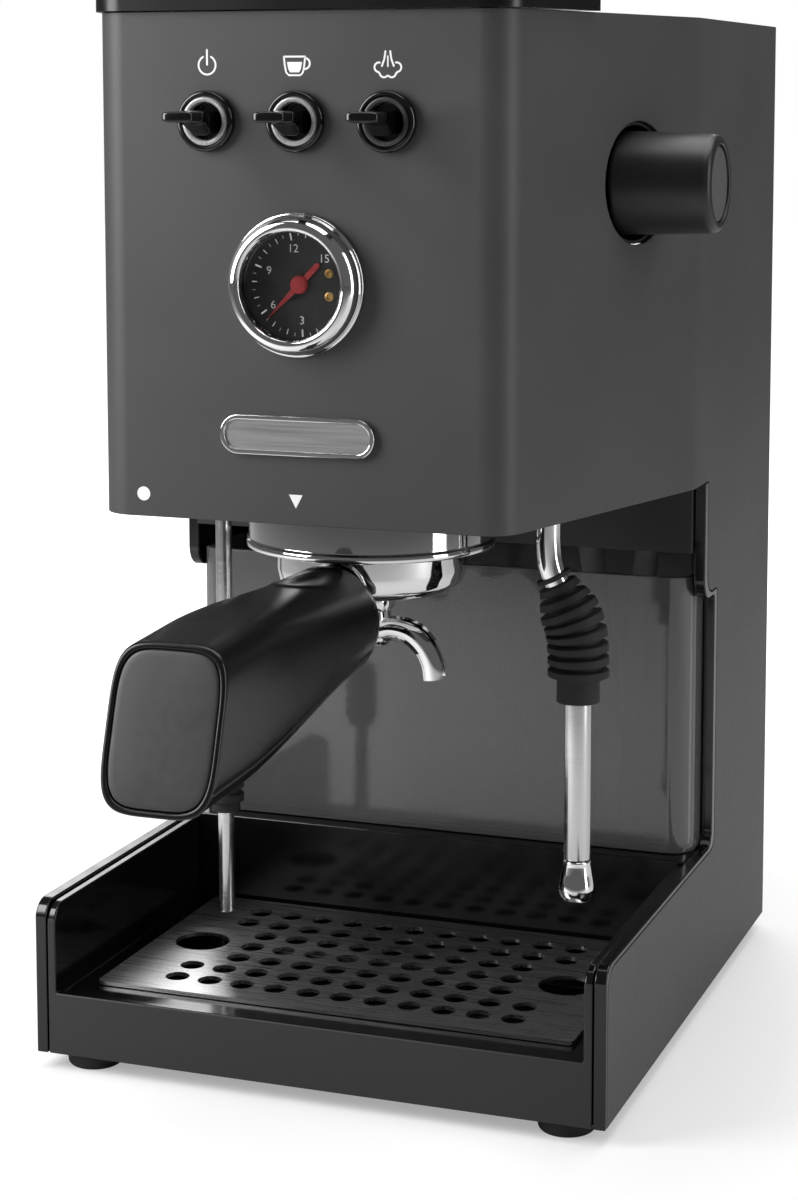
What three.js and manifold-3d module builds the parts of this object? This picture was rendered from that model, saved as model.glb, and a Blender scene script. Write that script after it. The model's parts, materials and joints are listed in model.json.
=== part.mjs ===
// A home espresso machine: a painted steel body whose narrow head stands over a drip tray, with a
// boiler and group, a bayonet portafilter, a steam wand, three toggle switches, a pressure gauge and
// a smoked water tank behind. Millimetres, +Z up. X is left to right and Y runs from front to back;
// inside the model Y = 0 is the front of the drip tray and Z = 0 is the table. The whole machine is
// then moved so that the origin is the middle of the bottom of its box.
import * as THREE from 'three';
import { mergeVertices } from 'three/addons/utils/BufferGeometryUtils.js';
import Module from 'manifold-3d';

const wasm = await Module();
wasm.setup();

// ---- Driving dimensions -------------------------------------------------------------------------
const HALF_WIDTH = 103;          // steel sides, centre to outer face
const DEPTH = 237.6;             // front of the tray to the back of the steel sides
const BODY_TOP = 365.3;          // top edge of the steel
const PANEL_BOTTOM = 5.7;        // lower edge of the steel and of the tray front
const HEAD_BOTTOM = 199.2;       // underside of the head
const HEAD_FRONT = -6.9;         // front face of the head
const HEAD_HALF_WIDTH = 70.5;    // half width of the head where its front and flared sides would meet
const CREASE_Y = 111.4;          // where the flared sides turn parallel
const HEAD_CORNER = 12;          // radius of the upright front corners
const STEEL = 1.2;               // sheet thickness
const GAP = 0.3;                 // between pieces that touch
const SLIDE_GAP = 0.5;           // beside pieces that slide
const BEYOND = 5;                // how far a cutting tool runs past what it cuts

const FOOT_RADIUS = 10;
const FOOT_TAPER = 0.8;
const FOOT_SIDE_INSET = 16.5;
const FOOT_FRONT_INSET = 12.5;
const FOOT_REAR_INSET = 16;

const TRAY_DEPTH = 119;
const TRAY_WALL = 3;
const TRAY_SHELF = 8.1;          // from the tray's side walls to the grille
const TRAY_LIP = 27.7;           // top of the tray's front
const LOW_WALL_TOP = 58;         // top edge of the low steel sides beside the tray
const SHELF_Z = 26.4;            // where the grille rests
const GRILLE_THICKNESS = 1.4;
const GRILLE_FRONT = 15.7;
const GRILLE_REAR_INSET = 1.3;   // from the back of the tray
const GRILLE_REST = 4.5;         // width of the ledge under the grille's edge
const DRAIN_HOLE = 4.3;          // radius
const DRAIN_PITCH = 12.5;        // between holes, both ways
const DRAIN_MARGIN = 20.5;       // from the grille's side edge to the first hole's centre, at least
const DRAIN_MARGIN_FRONT = 13;
const FINGER_HOLE = 10;          // radius
const FINGER_INSET = 15.3;       // from the grille's side edge
const WEB = 2;                   // least metal between two holes of the grille

const SPLASH_Y = TRAY_DEPTH + 1.2;               // front of the wall under the tank
const TANK_FRONT = SPLASH_Y + 7.6;
const TANK_FLOOR_Z = 60;         // shelf that the tank stands on
const TANK_TOP = 163.5;
const TANK_WALL = 2.5;
const TANK_CORNER = 9;
const BAY_ROOF_Z = TANK_TOP + 9.5;               // lower edge of the cover over the tank
const SHELF = 2.5;               // thickness of the shelf and of the cover

const COLUMN_FRONT = TANK_FRONT + 21.5;          // front edge of the column beside the tank
const COLUMN_UPPER_FRONT = TANK_FRONT + 5.5;
const COLUMN_STEP_Z = TANK_TOP - 6;              // height where the column edge steps forward
const PANEL_FRONT = 2.4;         // front edge of the low steel side
const RIM_REACH = 5;             // how far the black rim stands ahead of the column's steel edge
const RIM_RISE = 2;              // how far it stands above the low steel side
const CHEEK = 2.6;               // thickness of the black side liner

const GROUP_Y = 59.4;            // upright axis of the group, at X = 0
const FILTER_RADIUS = 33.2;      // outside of the portafilter cup
const FILTER_BOTTOM = 166.5;
const FILTER_TOP = 192;
const BASKET_RADIUS = FILTER_RADIUS - 3.8;
const BASKET_DEPTH = 22;
const EAR_RADIUS = FILTER_RADIUS + 3.4;
const COLLAR_RADIUS = EAR_RADIUS + 7.4;
const COLLAR_BOTTOM = 182.4;
const EAR_ANGLE = 34;            // width of a bayonet ear, degrees
const INSERT_ANGLE = 40;         // turn from locked to loose, degrees

const HANDLE_START = GROUP_Y - FILTER_RADIUS - 1.6;
const HANDLE_LENGTH = 135;
const HANDLE_ROOT_Z = 162.9;
const HANDLE_END_Z = 155.5;
const HANDLE_ROOT_RADIUS = 18.8;
const HANDLE_END_HALF_WIDTH = 18.6;
const HANDLE_END_HALF_HEIGHT = 24.2;
const HANDLE_END_TILT = 18;      // degrees that the end face leans back
const NECK_Z = 171;

const SWITCH_Z = BODY_TOP - 35.3;
const SWITCH_PITCH = 31.2;
const SWITCH_BARREL = 8;         // radius
const SWITCH_RIM = SWITCH_BARREL + 1.9;
const SWITCH_MOUTH = SWITCH_BARREL - 1.4;
const PADDLE_REACH = 24;         // tip ahead of the steel

const GAUGE_Z = BODY_TOP - 87.7;
const GAUGE_RADIUS = 23.4;
const GAUGE_CAN_RADIUS = GAUGE_RADIUS - 2;
const GAUGE_GLASS = GAUGE_RADIUS - 5;
const GAUGE_STAND = 8;           // bezel ahead of the steel
const NEEDLE_REST = 225;         // degrees from +X, seen from the front

const KNOB_Y = 71.5;
const KNOB_Z = BODY_TOP - 56.3;
const KNOB_RADIUS = 17.6;
const KNOB_TIP_RADIUS = KNOB_RADIUS - 1;
const KNOB_STAND = 28.46;        // end of the knob beyond the steel at its axis
const KNOB_HOLE = KNOB_RADIUS + 3.3;

const WAND_Y = 55;
const WAND_BALL_Z = 203.5;
const WAND_BALL = 6;             // radius
const WAND_TUBE = 4.3;           // radius
const WAND_SLEEVE = WAND_TUBE + 0.3;
const WAND_DROP_OUT = 10;        // the lower length hangs this far outside the ball
const WAND_DROP_BACK = 3;
const WAND_GRIP_TOP = 178;
const WAND_GRIP_BOTTOM = 132.4;
const WAND_TIP_TOP = 76.8;
const WAND_TIP_BOTTOM = 61.8;

const DRAIN_X = -57;             // pipe that empties the group into the tray
const DRAIN_Y = 60;
const DRAIN_PIPE = 2.9;          // radius
const DRAIN_COUPLING = 6.6;      // radius
const DRAIN_COUPLING_TOP = 106;
const DRAIN_COUPLING_BOTTOM = 81;
const DRAIN_BOTTOM = 43.4;

const LID_OVERHANG = 2;
const LID_BOTTOM = BODY_TOP + GAP;
const LID_TOP = LID_BOTTOM + 4.3;
const LID_REAR = 43.2;
const HINGE_Y = LID_REAR + 2.7;
const HINGE_Z = LID_BOTTOM + 1.8;
const HINGE_PIN = 1.4;           // radius

const BOILER_RADIUS = 38;
const BOILER_TOP = 312;
const BOILER_SPLIT = 238;

// ---- Materials ----------------------------------------------------------------------------------
const finish = (color, roughness, metalness, extra = {}) =>
  new THREE.MeshStandardMaterial({ color, roughness, metalness, ...extra });
const paint = finish(0x4c4c4d, 0.55, 0.2);
const chrome = finish(0xd8d9da, 0.12, 1);
const steel = finish(0xb9bbbd, 0.28, 1);
const satinBlack = finish(0x1d1d1e, 0.45, 0);
const glossBlack = finish(0x121213, 0.18, 0);
const rubber = finish(0x191919, 0.8, 0);
const brass = finish(0xb08d4c, 0.35, 1);
const aluminium = finish(0xa4a6a8, 0.4, 1);
const smoke = finish(0x3a3b3d, 0.15, 0, { transparent: true, opacity: 0.55 });
const glass = finish(0xf2f4f5, 0.05, 0, { transparent: true, opacity: 0.25 });
const silicone = finish(0xcfd0d0, 0.5, 0);
const red = finish(0xc0201c, 0.5, 0);
const board = finish(0x1f5a34, 0.6, 0);

// ---- Solids -------------------------------------------------------------------------------------
// A closed geometry as a solid: its shared points are merged and its faces are turned outwards.
function solid(geometry) {
  const bare = geometry.index ? geometry.toNonIndexed() : geometry.clone();
  for (const name of ['normal', 'uv']) bare.deleteAttribute(name);
  const merged = mergeVertices(bare, 1e-4);
  const points = merged.attributes.position.array;
  const corner = (index) => new THREE.Vector3().fromArray(points, 3 * index);
  const faces = [];
  let volume = 0;
  for (let i = 0; i < merged.index.count; i += 3) {
    const [a, b, c] = [0, 1, 2].map((k) => merged.index.getX(i + k));
    if (a === b || b === c || c === a) continue;
    faces.push([a, b, c]);
    volume += corner(a).dot(corner(b).cross(corner(c)));
  }
  if (volume < 0) faces.forEach((face) => face.reverse());
  const mesh = new wasm.Mesh({ numProp: 3, vertProperties: new Float32Array(points),
    triVerts: new Uint32Array(faces.flat()) });
  return new wasm.Manifold(mesh);
}

const cut = (body, ...tools) => tools.reduce((left, tool) => left.subtract(tool), body);
const join = (...bodies) => bodies.reduce((left, right) => left.add(right));
const shifted = (geometry, x, y, z) => geometry.translate(x, y, z);

function block(x0, x1, y0, y1, z0, z1) {
  const geometry = new THREE.BoxGeometry(x1 - x0, y1 - y0, z1 - z0);
  return solid(shifted(geometry, (x0 + x1) / 2, (y0 + y1) / 2, (z0 + z1) / 2));
}

// Turns a shape that is made along +Y so that it runs along another axis.
function alongAxis(geometry, axis) {
  if (axis === 'z') geometry.rotateX(Math.PI / 2);
  if (axis === 'x') geometry.rotateZ(-Math.PI / 2);
  return geometry;
}

// A round bar from one place to another along an axis; u and v are its other two coordinates.
function bar(axis, radius, from, to, u, v, sides = 20, endRadius = radius) {
  const geometry = new THREE.CylinderGeometry(endRadius, radius, to - from, sides);
  alongAxis(shifted(geometry, 0, (from + to) / 2, 0), axis);
  const place = { x: [0, u, v], y: [u, 0, v], z: [u, v, 0] }[axis];
  return solid(shifted(geometry, ...place));
}

// A turned piece: its profile lists radius and place along the axis, and closes on itself.
function turned(axis, profile, u, v, sides = 28) {
  const points = [...profile, profile[0]].map(([radius, place]) => new THREE.Vector2(radius, place));
  const geometry = alongAxis(new THREE.LatheGeometry(points, sides), axis);
  const place = { x: [0, u, v], y: [u, 0, v], z: [u, v, 0] }[axis];
  return solid(shifted(geometry, ...place));
}

// A closed outline from corners [x, y, radius]; a radius rounds its corner with an arc.
function outline(corners, steps = 5) {
  const points = [];
  corners.forEach(([x, y, radius = 0], i) => {
    const here = new THREE.Vector2(x, y);
    if (radius === 0) {
      points.push(here);
      return;
    }
    const before = new THREE.Vector2(...corners.at(i - 1)).sub(here).normalize();
    const after = new THREE.Vector2(...corners[(i + 1) % corners.length]).sub(here).normalize();
    const half = Math.acos(THREE.MathUtils.clamp(before.dot(after), -1, 1)) / 2;
    const centre = before.clone().add(after).normalize().multiplyScalar(radius / Math.sin(half)).add(here);
    const start = before.multiplyScalar(radius / Math.tan(half)).add(here).sub(centre);
    const end = after.multiplyScalar(radius / Math.tan(half)).add(here).sub(centre);
    const turn = Math.atan2(start.cross(end), start.dot(end));
    for (let k = 0; k <= steps; k++) {
      const angle = start.angle() + turn * k / steps;
      points.push(new THREE.Vector2(Math.cos(angle), Math.sin(angle)).multiplyScalar(radius).add(centre));
    }
  });
  return new THREE.Shape(points);
}

const rounded = (x0, x1, y0, y1, radius, steps = 5) =>
  outline([[x0, y0, radius], [x1, y0, radius], [x1, y1, radius], [x0, y1, radius]], steps);

// Straight prisms: a plan raised in Z, a side view carried across X, a front view carried along Y.
const prism = (shape, from, to) =>
  new THREE.ExtrudeGeometry(shape, { depth: to - from, bevelEnabled: false });
const raised = (shape, z0, z1) => solid(shifted(prism(shape, z0, z1), 0, 0, z0));
const across = (shape, x0, x1) =>
  solid(shifted(prism(shape, x0,
    x1).applyMatrix4(new THREE.Matrix4().set(0, 0, 1, 0, 1, 0, 0, 0, 0, 1, 0, 0, 0, 0, 0, 1)), x0, 0, 0));
const along = (shape, y0, y1) => solid(shifted(prism(shape, y0, y1).rotateX(Math.PI / 2), 0, y1, 0));

// A bent rod or tube core through a few points.
function bent(points, radius, steps = 12, sides = 8) {
  const circle = new THREE.Shape(Array.from({ length: sides }, (_, i) => {
    const angle = (2 * Math.PI * i) / sides;
    return new THREE.Vector2(radius * Math.cos(angle), radius * Math.sin(angle));
  }));
  const path = new THREE.CatmullRomCurve3(points.map((point) => new THREE.Vector3(...point)));
  return solid(new THREE.ExtrudeGeometry(circle, { steps, extrudePath: path, bevelEnabled: false }));
}

// A skin over rings of points, all with the same count, closed by a flat fan at each end.
function lofted(rings) {
  const count = rings[0].length;
  const centre = (ring) =>
    ring.reduce((sum, point) => sum.add(point), new THREE.Vector3()).divideScalar(count);
  const triangles = [];
  rings.slice(1).forEach((ring, i) => {
    for (let k = 0; k < count; k++) {
      const [a, b, c, d] = [rings[i][k], rings[i][(k + 1) % count], ring[(k + 1) % count], ring[k]];
      triangles.push(a, b, c, a, c, d);
    }
  });
  const [first, last] = [rings[0], rings.at(-1)];
  for (let k = 0; k < count; k++) {
    triangles.push(centre(first), first[(k + 1) % count], first[k]);
    triangles.push(centre(last), last[k], last[(k + 1) % count]);
  }
  return solid(new THREE.BufferGeometry().setFromPoints(triangles));
}

const ball = (radius, x, y, z, sides = 20) =>
  solid(shifted(new THREE.SphereGeometry(radius, sides, sides / 2), x, y, z));

const machine = new THREE.Group();

function add(name, body, material) {
  const { vertProperties, triVerts } = body.getMesh();
  const geometry = new THREE.BufferGeometry();
  geometry.setAttribute('position', new THREE.BufferAttribute(vertProperties, 3));
  geometry.setIndex(new THREE.BufferAttribute(triVerts, 1));
  geometry.computeVertexNormals();
  const mesh = new THREE.Mesh(geometry, material);
  mesh.name = name;
  machine.add(mesh);
}

// ---- Body ---------------------------------------------------------------------------------------
const FLARE = (HALF_WIDTH - HEAD_HALF_WIDTH) / (CREASE_Y - HEAD_FRONT);
const FLARE_STRETCH = Math.hypot(1, FLARE);

// Half width of the plan at a depth, measured inset inside the outer face of the steel.
const halfWidthAt = (y, inset) => Math.min(
  HALF_WIDTH - inset, HEAD_HALF_WIDTH - inset * FLARE_STRETCH + FLARE * (y - HEAD_FRONT));

// The steam valve and its wand are placed from the steel beside the knob.
const knobSide = halfWidthAt(KNOB_Y, 0);
const KNOB_END = knobSide + KNOB_STAND;
const VALVE_X = [knobSide - 42, knobSide - 10];
const WAND_X = knobSide - 26.04;
const WAND_DROP_X = WAND_X + WAND_DROP_OUT;
const WAND_DROP_Y = WAND_Y + WAND_DROP_BACK;

// Plan of the body, inset inside the steel's outer face, between two depths.
function plan(inset, rear, front = HEAD_FRONT + inset) {
  const crease = HEAD_FRONT + (HALF_WIDTH - HEAD_HALF_WIDTH + inset * (FLARE_STRETCH - 1)) / FLARE;
  const corner = front <= HEAD_FRONT + inset ? Math.max(HEAD_CORNER - inset, 1) : 0;
  const side = [[halfWidthAt(front, inset), front, corner]];
  if (rear > crease) side.push([halfWidthAt(crease, inset), crease]);
  side.push([halfWidthAt(rear, inset), rear]);
  return outline([...side, ...side.map(([x, y, radius = 0]) => [-x, y, radius]).reverse()]);
}

// Side view of the front edge of the sides: the line steps round the tray and the tank.
function sideEdge(ahead, rise) {
  return [
    [PANEL_FRONT - ahead, PANEL_BOTTOM - 1],
    [PANEL_FRONT - ahead, LOW_WALL_TOP + rise, 7],
    [COLUMN_FRONT - ahead - rise, LOW_WALL_TOP + rise, 6],
    [COLUMN_FRONT - ahead - rise, COLUMN_STEP_Z - rise, 2],
    [COLUMN_UPPER_FRONT - ahead - rise, COLUMN_STEP_Z - rise, 8],
    [COLUMN_UPPER_FRONT - ahead - rise, HEAD_BOTTOM + 2],
  ];
}
const FRONT_OF_ALL = -400;
const openFront = (ahead, rise) => across(outline([
  ...sideEdge(ahead, rise), [FRONT_OF_ALL, HEAD_BOTTOM + 2], [FRONT_OF_ALL, PANEL_BOTTOM - 1]]), -400, 400);

const switchXs = [-1, 0, 1].map((place) => place * SWITCH_PITCH);
const switchHoles = switchXs.map((x) =>
  bar('y', SWITCH_BARREL + GAP, HEAD_FRONT - 2, HEAD_FRONT + 4, x, SWITCH_Z, 24));

// The head follows the flared plan; below it the sides are straight, down past the tray.
const lowerSides = [-1, 1].map((side) => cut(
  block(Math.min(side * (HALF_WIDTH - STEEL), side * HALF_WIDTH),
    Math.max(side * (HALF_WIDTH - STEEL), side * HALF_WIDTH),
    0, DEPTH, PANEL_BOTTOM, HEAD_BOTTOM + 1), openFront(0, 0)));
add('body_shell', cut(
  join(raised(plan(0, DEPTH), HEAD_BOTTOM, BODY_TOP), ...lowerSides),
  raised(plan(STEEL, DEPTH + 20), HEAD_BOTTOM - 5, BODY_TOP + 5),
  ...switchHoles,
  bar('y', GAUGE_CAN_RADIUS + GAP, HEAD_FRONT - 2, HEAD_FRONT + 4, 0, GAUGE_Z, 32),
  bar('x', KNOB_HOLE, 60, 130, KNOB_Y, KNOB_Z, 32)), paint);

const INNER = STEEL + GAP;                       // inset of what lines the steel
const PANEL_REAR = DEPTH - GAP;
const INLET_X = -60;
const INLET_Z = 30;
const slots = [...Array(7).keys()].map((i) =>
  block(-55, 55, PANEL_REAR - 6, PANEL_REAR + 6, 232 + 14 * i, 237 + 14 * i));
add('back_panel', cut(
  block(-HALF_WIDTH + INNER, HALF_WIDTH - INNER, PANEL_REAR - STEEL, PANEL_REAR, PANEL_BOTTOM + GAP,
    BODY_TOP - 2),
  block(INLET_X - 14, INLET_X + 14, PANEL_REAR - 9, PANEL_REAR + 9, INLET_Z - 10, INLET_Z + 10), ...slots),
    paint);

const INSIDE_REAR = PANEL_REAR - STEEL - GAP;
add('power_inlet', cut(
  join(block(INLET_X - 13.6, INLET_X + 13.6, INSIDE_REAR - 20, PANEL_REAR, INLET_Z - 9.6, INLET_Z + 9.6),
    block(INLET_X - 16, INLET_X + 16, INSIDE_REAR - 2.5, INSIDE_REAR, INLET_Z - 12, INLET_Z + 12)),
  block(INLET_X - 11, INLET_X + 11, PANEL_REAR - 14, PANEL_REAR + 5, INLET_Z - 7, INLET_Z + 7)), satinBlack);

const BAY_FRONT = TANK_FRONT - 0.9;              // front face of the cover over the tank
add('head_floor', cut(
  raised(plan(INNER, BAY_FRONT - GAP), HEAD_BOTTOM + GAP, HEAD_BOTTOM + 2.3),
  bar('z', COLLAR_RADIUS - 6, 190, 210, 0, GROUP_Y, 48),
  bar('z', 10.4, 190, 210, WAND_X, WAND_Y, 24),
  bar('z', DRAIN_PIPE + 1, 190, 210, DRAIN_X, DRAIN_Y, 16)), satinBlack);

// ---- Base, side liners and tank bay -----------------------------------------------------------------
const LINER_OUTER = HALF_WIDTH - INNER;
const LINER_INNER = LINER_OUTER - CHEEK;
const baseRear = INSIDE_REAR;
add('base_plate', block(-LINER_OUTER, LINER_OUTER, TRAY_WALL + GAP, baseRear, PANEL_BOTTOM,
  PANEL_BOTTOM + 2), satinBlack);

function cheek(side) {
  const bounds = [[TRAY_WALL, PANEL_BOTTOM + 2 + GAP], [baseRear, PANEL_BOTTOM + 2 + GAP],
    [baseRear, HEAD_BOTTOM - GAP], [0, HEAD_BOTTOM - GAP]];
  const inner = side > 0 ? [LINER_INNER, HALF_WIDTH] : [-HALF_WIDTH, -LINER_INNER];
  const outer = side > 0 ? [LINER_OUTER, HALF_WIDTH + 2] : [-HALF_WIDTH - 2, -LINER_OUTER];
  const liner = cut(across(outline([[0, PANEL_BOTTOM], [TRAY_WALL, PANEL_BOTTOM], ...bounds]), ...inner),
    openFront(RIM_REACH - 2.4, RIM_RISE));
  const behindSteel = cut(across(outline([[-20, -20], [baseRear + 20, -20], [baseRear + 20, 260],
    [-20, 260]]), ...outer), openFront(GAP, GAP));
  return cut(liner, behindSteel);
}
add('side_liner_right', cheek(1), satinBlack);
add('side_liner_left', cheek(-1), satinBlack);

const BAY_HALF_WIDTH = LINER_INNER - GAP;
add('tank_shelf', join(
  block(-BAY_HALF_WIDTH, BAY_HALF_WIDTH, SPLASH_Y, SPLASH_Y + 2.5, PANEL_BOTTOM + 2 + GAP, TANK_FLOOR_Z),
  block(-BAY_HALF_WIDTH, BAY_HALF_WIDTH, SPLASH_Y, INSIDE_REAR, TANK_FLOOR_Z - 2.5, TANK_FLOOR_Z)),
    glossBlack);

const HOSE_Y = TANK_FRONT + 22.2;
const hoses = [{ name: 'suction_hose', x: 53, lean: 8, bottom: 66 },
  { name: 'return_hose', x: 76, lean: -5, bottom: 106 }];
const HOSE_RADIUS = 4.6;
const DUCT_X = [-72, -54];                       // chute from the filler to the tank
const DUCT_END = [HOSE_Y, HOSE_Y + 16];
add('bay_cover', cut(
  join(block(-BAY_HALF_WIDTH, BAY_HALF_WIDTH, BAY_FRONT, BAY_FRONT + 2.5, BAY_ROOF_Z, HEAD_BOTTOM + 2),
    block(-BAY_HALF_WIDTH, BAY_HALF_WIDTH, BAY_FRONT, INSIDE_REAR, BAY_ROOF_Z + 2, BAY_ROOF_Z + 4.5)),
  ...hoses.map(({ x }) => bar('z', HOSE_RADIUS + 0.6, 170, 190, x, HOSE_Y, 16)),
  block(DUCT_X[0] - GAP, DUCT_X[1] + GAP, DUCT_END[0] - GAP, DUCT_END[1] + GAP, 165, 190)), satinBlack);

for (const { name, x, lean, bottom } of hoses) {
  const route = [[x, HOSE_Y, 196], [x, HOSE_Y, 176], [x + lean * 0.3, HOSE_Y, 158],
    [x + lean, HOSE_Y, 120], [x + lean, HOSE_Y, bottom]];
  const length = bottom < 100 ? route : [...route.slice(0, 3), [x + lean, HOSE_Y, 130],
    [x + lean, HOSE_Y, bottom]];
  add(name, cut(bent(length, HOSE_RADIUS, 8, 8),
    bent(length.map(([a, b, c], i) => [a, b, c + (i === 0 ? 2 : i === 4 ? -2 : 0)]), HOSE_RADIUS - 1.4, 8,
    6)), silicone);
}

const tankRear = INSIDE_REAR - 3;
const TANK_HALF_WIDTH = BAY_HALF_WIDTH - SLIDE_GAP + GAP;
const tankPlan = (inset) => outline([
  [-TANK_HALF_WIDTH + inset, TANK_FRONT + inset, TANK_CORNER - inset],
    [TANK_HALF_WIDTH - inset, TANK_FRONT + inset, TANK_CORNER - inset],
  [TANK_HALF_WIDTH - inset, tankRear - inset, 3], [-TANK_HALF_WIDTH + inset, tankRear - inset, 3]]);
add('water_tank', cut(raised(tankPlan(0), TANK_FLOOR_Z + GAP, TANK_TOP),
  raised(tankPlan(TANK_WALL), TANK_FLOOR_Z + GAP + TANK_WALL, TANK_TOP + 5)), smoke);

// ---- Feet ---------------------------------------------------------------------------------------
for (const [end, y] of [['front', FOOT_FRONT_INSET], ['rear', DEPTH - FOOT_REAR_INSET]]) {
  for (const [hand, side] of [['left', -1], ['right', 1]]) {
    const x = side * (HALF_WIDTH - FOOT_SIDE_INSET);
    const foot = bar('z', FOOT_RADIUS - FOOT_TAPER, 0, PANEL_BOTTOM - GAP, x, y, 24, FOOT_RADIUS);
    add(`foot_${end}_${hand}`, foot, rubber);
  }
}

// ---- Drip tray ----------------------------------------------------------------------------------
const TRAY_HALF_WIDTH = LINER_INNER - SLIDE_GAP;
const trayFloor = PANEL_BOTTOM + 2 + GAP;
const trayWallTop = LOW_WALL_TOP + 1;
const TRAY_FLOOR = 2.2;
const trayOuter = join(
  block(-TRAY_HALF_WIDTH, TRAY_HALF_WIDTH, 0, TRAY_DEPTH, trayFloor, trayWallTop),
  block(-TRAY_HALF_WIDTH, TRAY_HALF_WIDTH, 0, TRAY_WALL, PANEL_BOTTOM, trayFloor + 5));
const trayInside = TRAY_HALF_WIDTH - TRAY_WALL;
const grilleHalfWidth = trayInside - TRAY_SHELF;
const grilleRear = TRAY_DEPTH - GRILLE_REAR_INSET;
const grilleMiddle = (GRILLE_FRONT + grilleRear) / 2;
const wellHalfWidth = grilleHalfWidth - GRILLE_REST;
const well = rounded(-wellHalfWidth, wellHalfWidth, GRILLE_FRONT + GRILLE_REST, grilleRear - GRILLE_REST, 8);
const TRAY_CORNER = 7;             // radius of the side walls' front top corners
const aboveCorner = outline([[-BEYOND, trayWallTop + BEYOND], [-BEYOND, trayWallTop - TRAY_CORNER - 1],
  [0, trayWallTop - TRAY_CORNER - 1],
  [0, trayWallTop, TRAY_CORNER],
  [TRAY_CORNER + 1, trayWallTop],
  [TRAY_CORNER + 1, trayWallTop + BEYOND]]);
add('drip_tray', cut(trayOuter,
  block(-trayInside, trayInside, TRAY_WALL, TRAY_DEPTH + BEYOND, SHELF_Z, trayWallTop + BEYOND),
  block(-trayInside, trayInside, -BEYOND, TRAY_WALL + 1, TRAY_LIP, trayWallTop + BEYOND),
  raised(well, trayFloor + TRAY_FLOOR, SHELF_Z + BEYOND),
  across(aboveCorner, -TRAY_HALF_WIDTH - BEYOND, TRAY_HALF_WIDTH + BEYOND)), glossBlack);

// A square field of holes, without those that would run into the two finger holes.
function drainHoles() {
  const columns = Math.floor((grilleHalfWidth - DRAIN_MARGIN) / DRAIN_PITCH);
  const rows = Math.floor(((grilleRear - GRILLE_FRONT) / 2 - DRAIN_MARGIN_FRONT) / DRAIN_PITCH);
  const clear = FINGER_HOLE + DRAIN_HOLE + WEB;
  const holes = [];
  for (let row = -rows; row <= rows; row++) {
    for (let column = -columns; column <= columns; column++) {
      const [x, y] = [column * DRAIN_PITCH, row * DRAIN_PITCH];
      if (Math.hypot(Math.abs(x) - fingerX, y) > clear) holes.push([x, y + grilleMiddle]);
    }
  }
  return holes;
}
const fingerX = grilleHalfWidth - FINGER_INSET;
const grilleZ = SHELF_Z + GAP;
const circle = (x, y, radius, sides) => new THREE.Path(Array.from({ length: sides }, (_, i) => {
  const angle = -(2 * Math.PI * i) / sides;
  return new THREE.Vector2(x + radius * Math.cos(angle), y + radius * Math.sin(angle));
}));
const grillePlan = rounded(-grilleHalfWidth, grilleHalfWidth, GRILLE_FRONT, grilleRear, 2, 2);
for (const [x, y] of drainHoles()) grillePlan.holes.push(circle(x, y, DRAIN_HOLE, 6));
for (const side of [-1, 1]) grillePlan.holes.push(circle(side * fingerX, grilleMiddle, FINGER_HOLE, 20));
add('drip_grille', raised(grillePlan, grilleZ, grilleZ + GRILLE_THICKNESS), steel);

// ---- Boiler and group -----------------------------------------------------------------------------
const BORE_TOP = HEAD_BOTTOM + 3.8;
const GROUP_NECK = 30;                           // radius
const screenTop = FILTER_TOP + 1.2;
const screenRadius = BASKET_RADIUS - 2.9;
add('group_head', turned('z', [
  [0, screenTop + 0.4], [screenRadius + 0.3, screenTop + 0.4], [screenRadius + 0.3, BORE_TOP + 1],
    [COLLAR_RADIUS - 6.5, BORE_TOP + 1], [COLLAR_RADIUS - 6.5, 214],
  [GROUP_NECK, 214], [GROUP_NECK, BOILER_SPLIT - 6], [BOILER_RADIUS, BOILER_SPLIT - 6],
    [BOILER_RADIUS, BOILER_SPLIT], [0, BOILER_SPLIT]], 0, GROUP_Y), aluminium);
add('boiler', turned('z', [
  [0, BOILER_SPLIT + GAP], [BOILER_RADIUS, BOILER_SPLIT + GAP], [BOILER_RADIUS, BOILER_SPLIT + 7],
    [BOILER_RADIUS - 4, BOILER_SPLIT + 7],
  [BOILER_RADIUS - 4, BOILER_TOP - 12], [BOILER_RADIUS - 14, BOILER_TOP], [0, BOILER_TOP]], 0, GROUP_Y),
    aluminium);

// The collar's ledge has two openings that the ears of the portafilter pass, and a ramp above it.
const LEDGE_RADIUS = FILTER_RADIUS + 0.5;
const LEDGE_TOP = 187;
function sector(radius, centreAngle, halfAngle, z0, z1) {
  const at = (angle) => new THREE.Vector2(radius * Math.cos(angle), radius * Math.sin(angle) + GROUP_Y);
  const [start, end] = [centreAngle - halfAngle, centreAngle + halfAngle].map(THREE.MathUtils.degToRad);
  const points = Array.from({ length: 9 }, (_, i) => at(start + (end - start) * i / 8));
  return raised(new THREE.Shape([new THREE.Vector2(0, GROUP_Y), ...points]), z0, z1);
}
const earOpenings = [0, 180].map((angle) =>
  sector(EAR_RADIUS + 0.8, angle - INSERT_ANGLE - 24, EAR_ANGLE / 2 + 2, 170, LEDGE_TOP + 1));
add('group_collar', cut(
  turned('z', [[LEDGE_RADIUS, COLLAR_BOTTOM + 0.8], [LEDGE_RADIUS + 0.8, COLLAR_BOTTOM],
    [COLLAR_RADIUS - 4, COLLAR_BOTTOM],
    [COLLAR_RADIUS - 1.2, COLLAR_BOTTOM + 1.2], [COLLAR_RADIUS, COLLAR_BOTTOM + 4],
      [COLLAR_RADIUS, HEAD_BOTTOM],
    [EAR_RADIUS + 0.8, HEAD_BOTTOM], [EAR_RADIUS + 0.8, LEDGE_TOP], [LEDGE_RADIUS, LEDGE_TOP]], 0, GROUP_Y,
      32),
  ...earOpenings), chrome);
const gasketTop = BORE_TOP + 1 - GAP;
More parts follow.
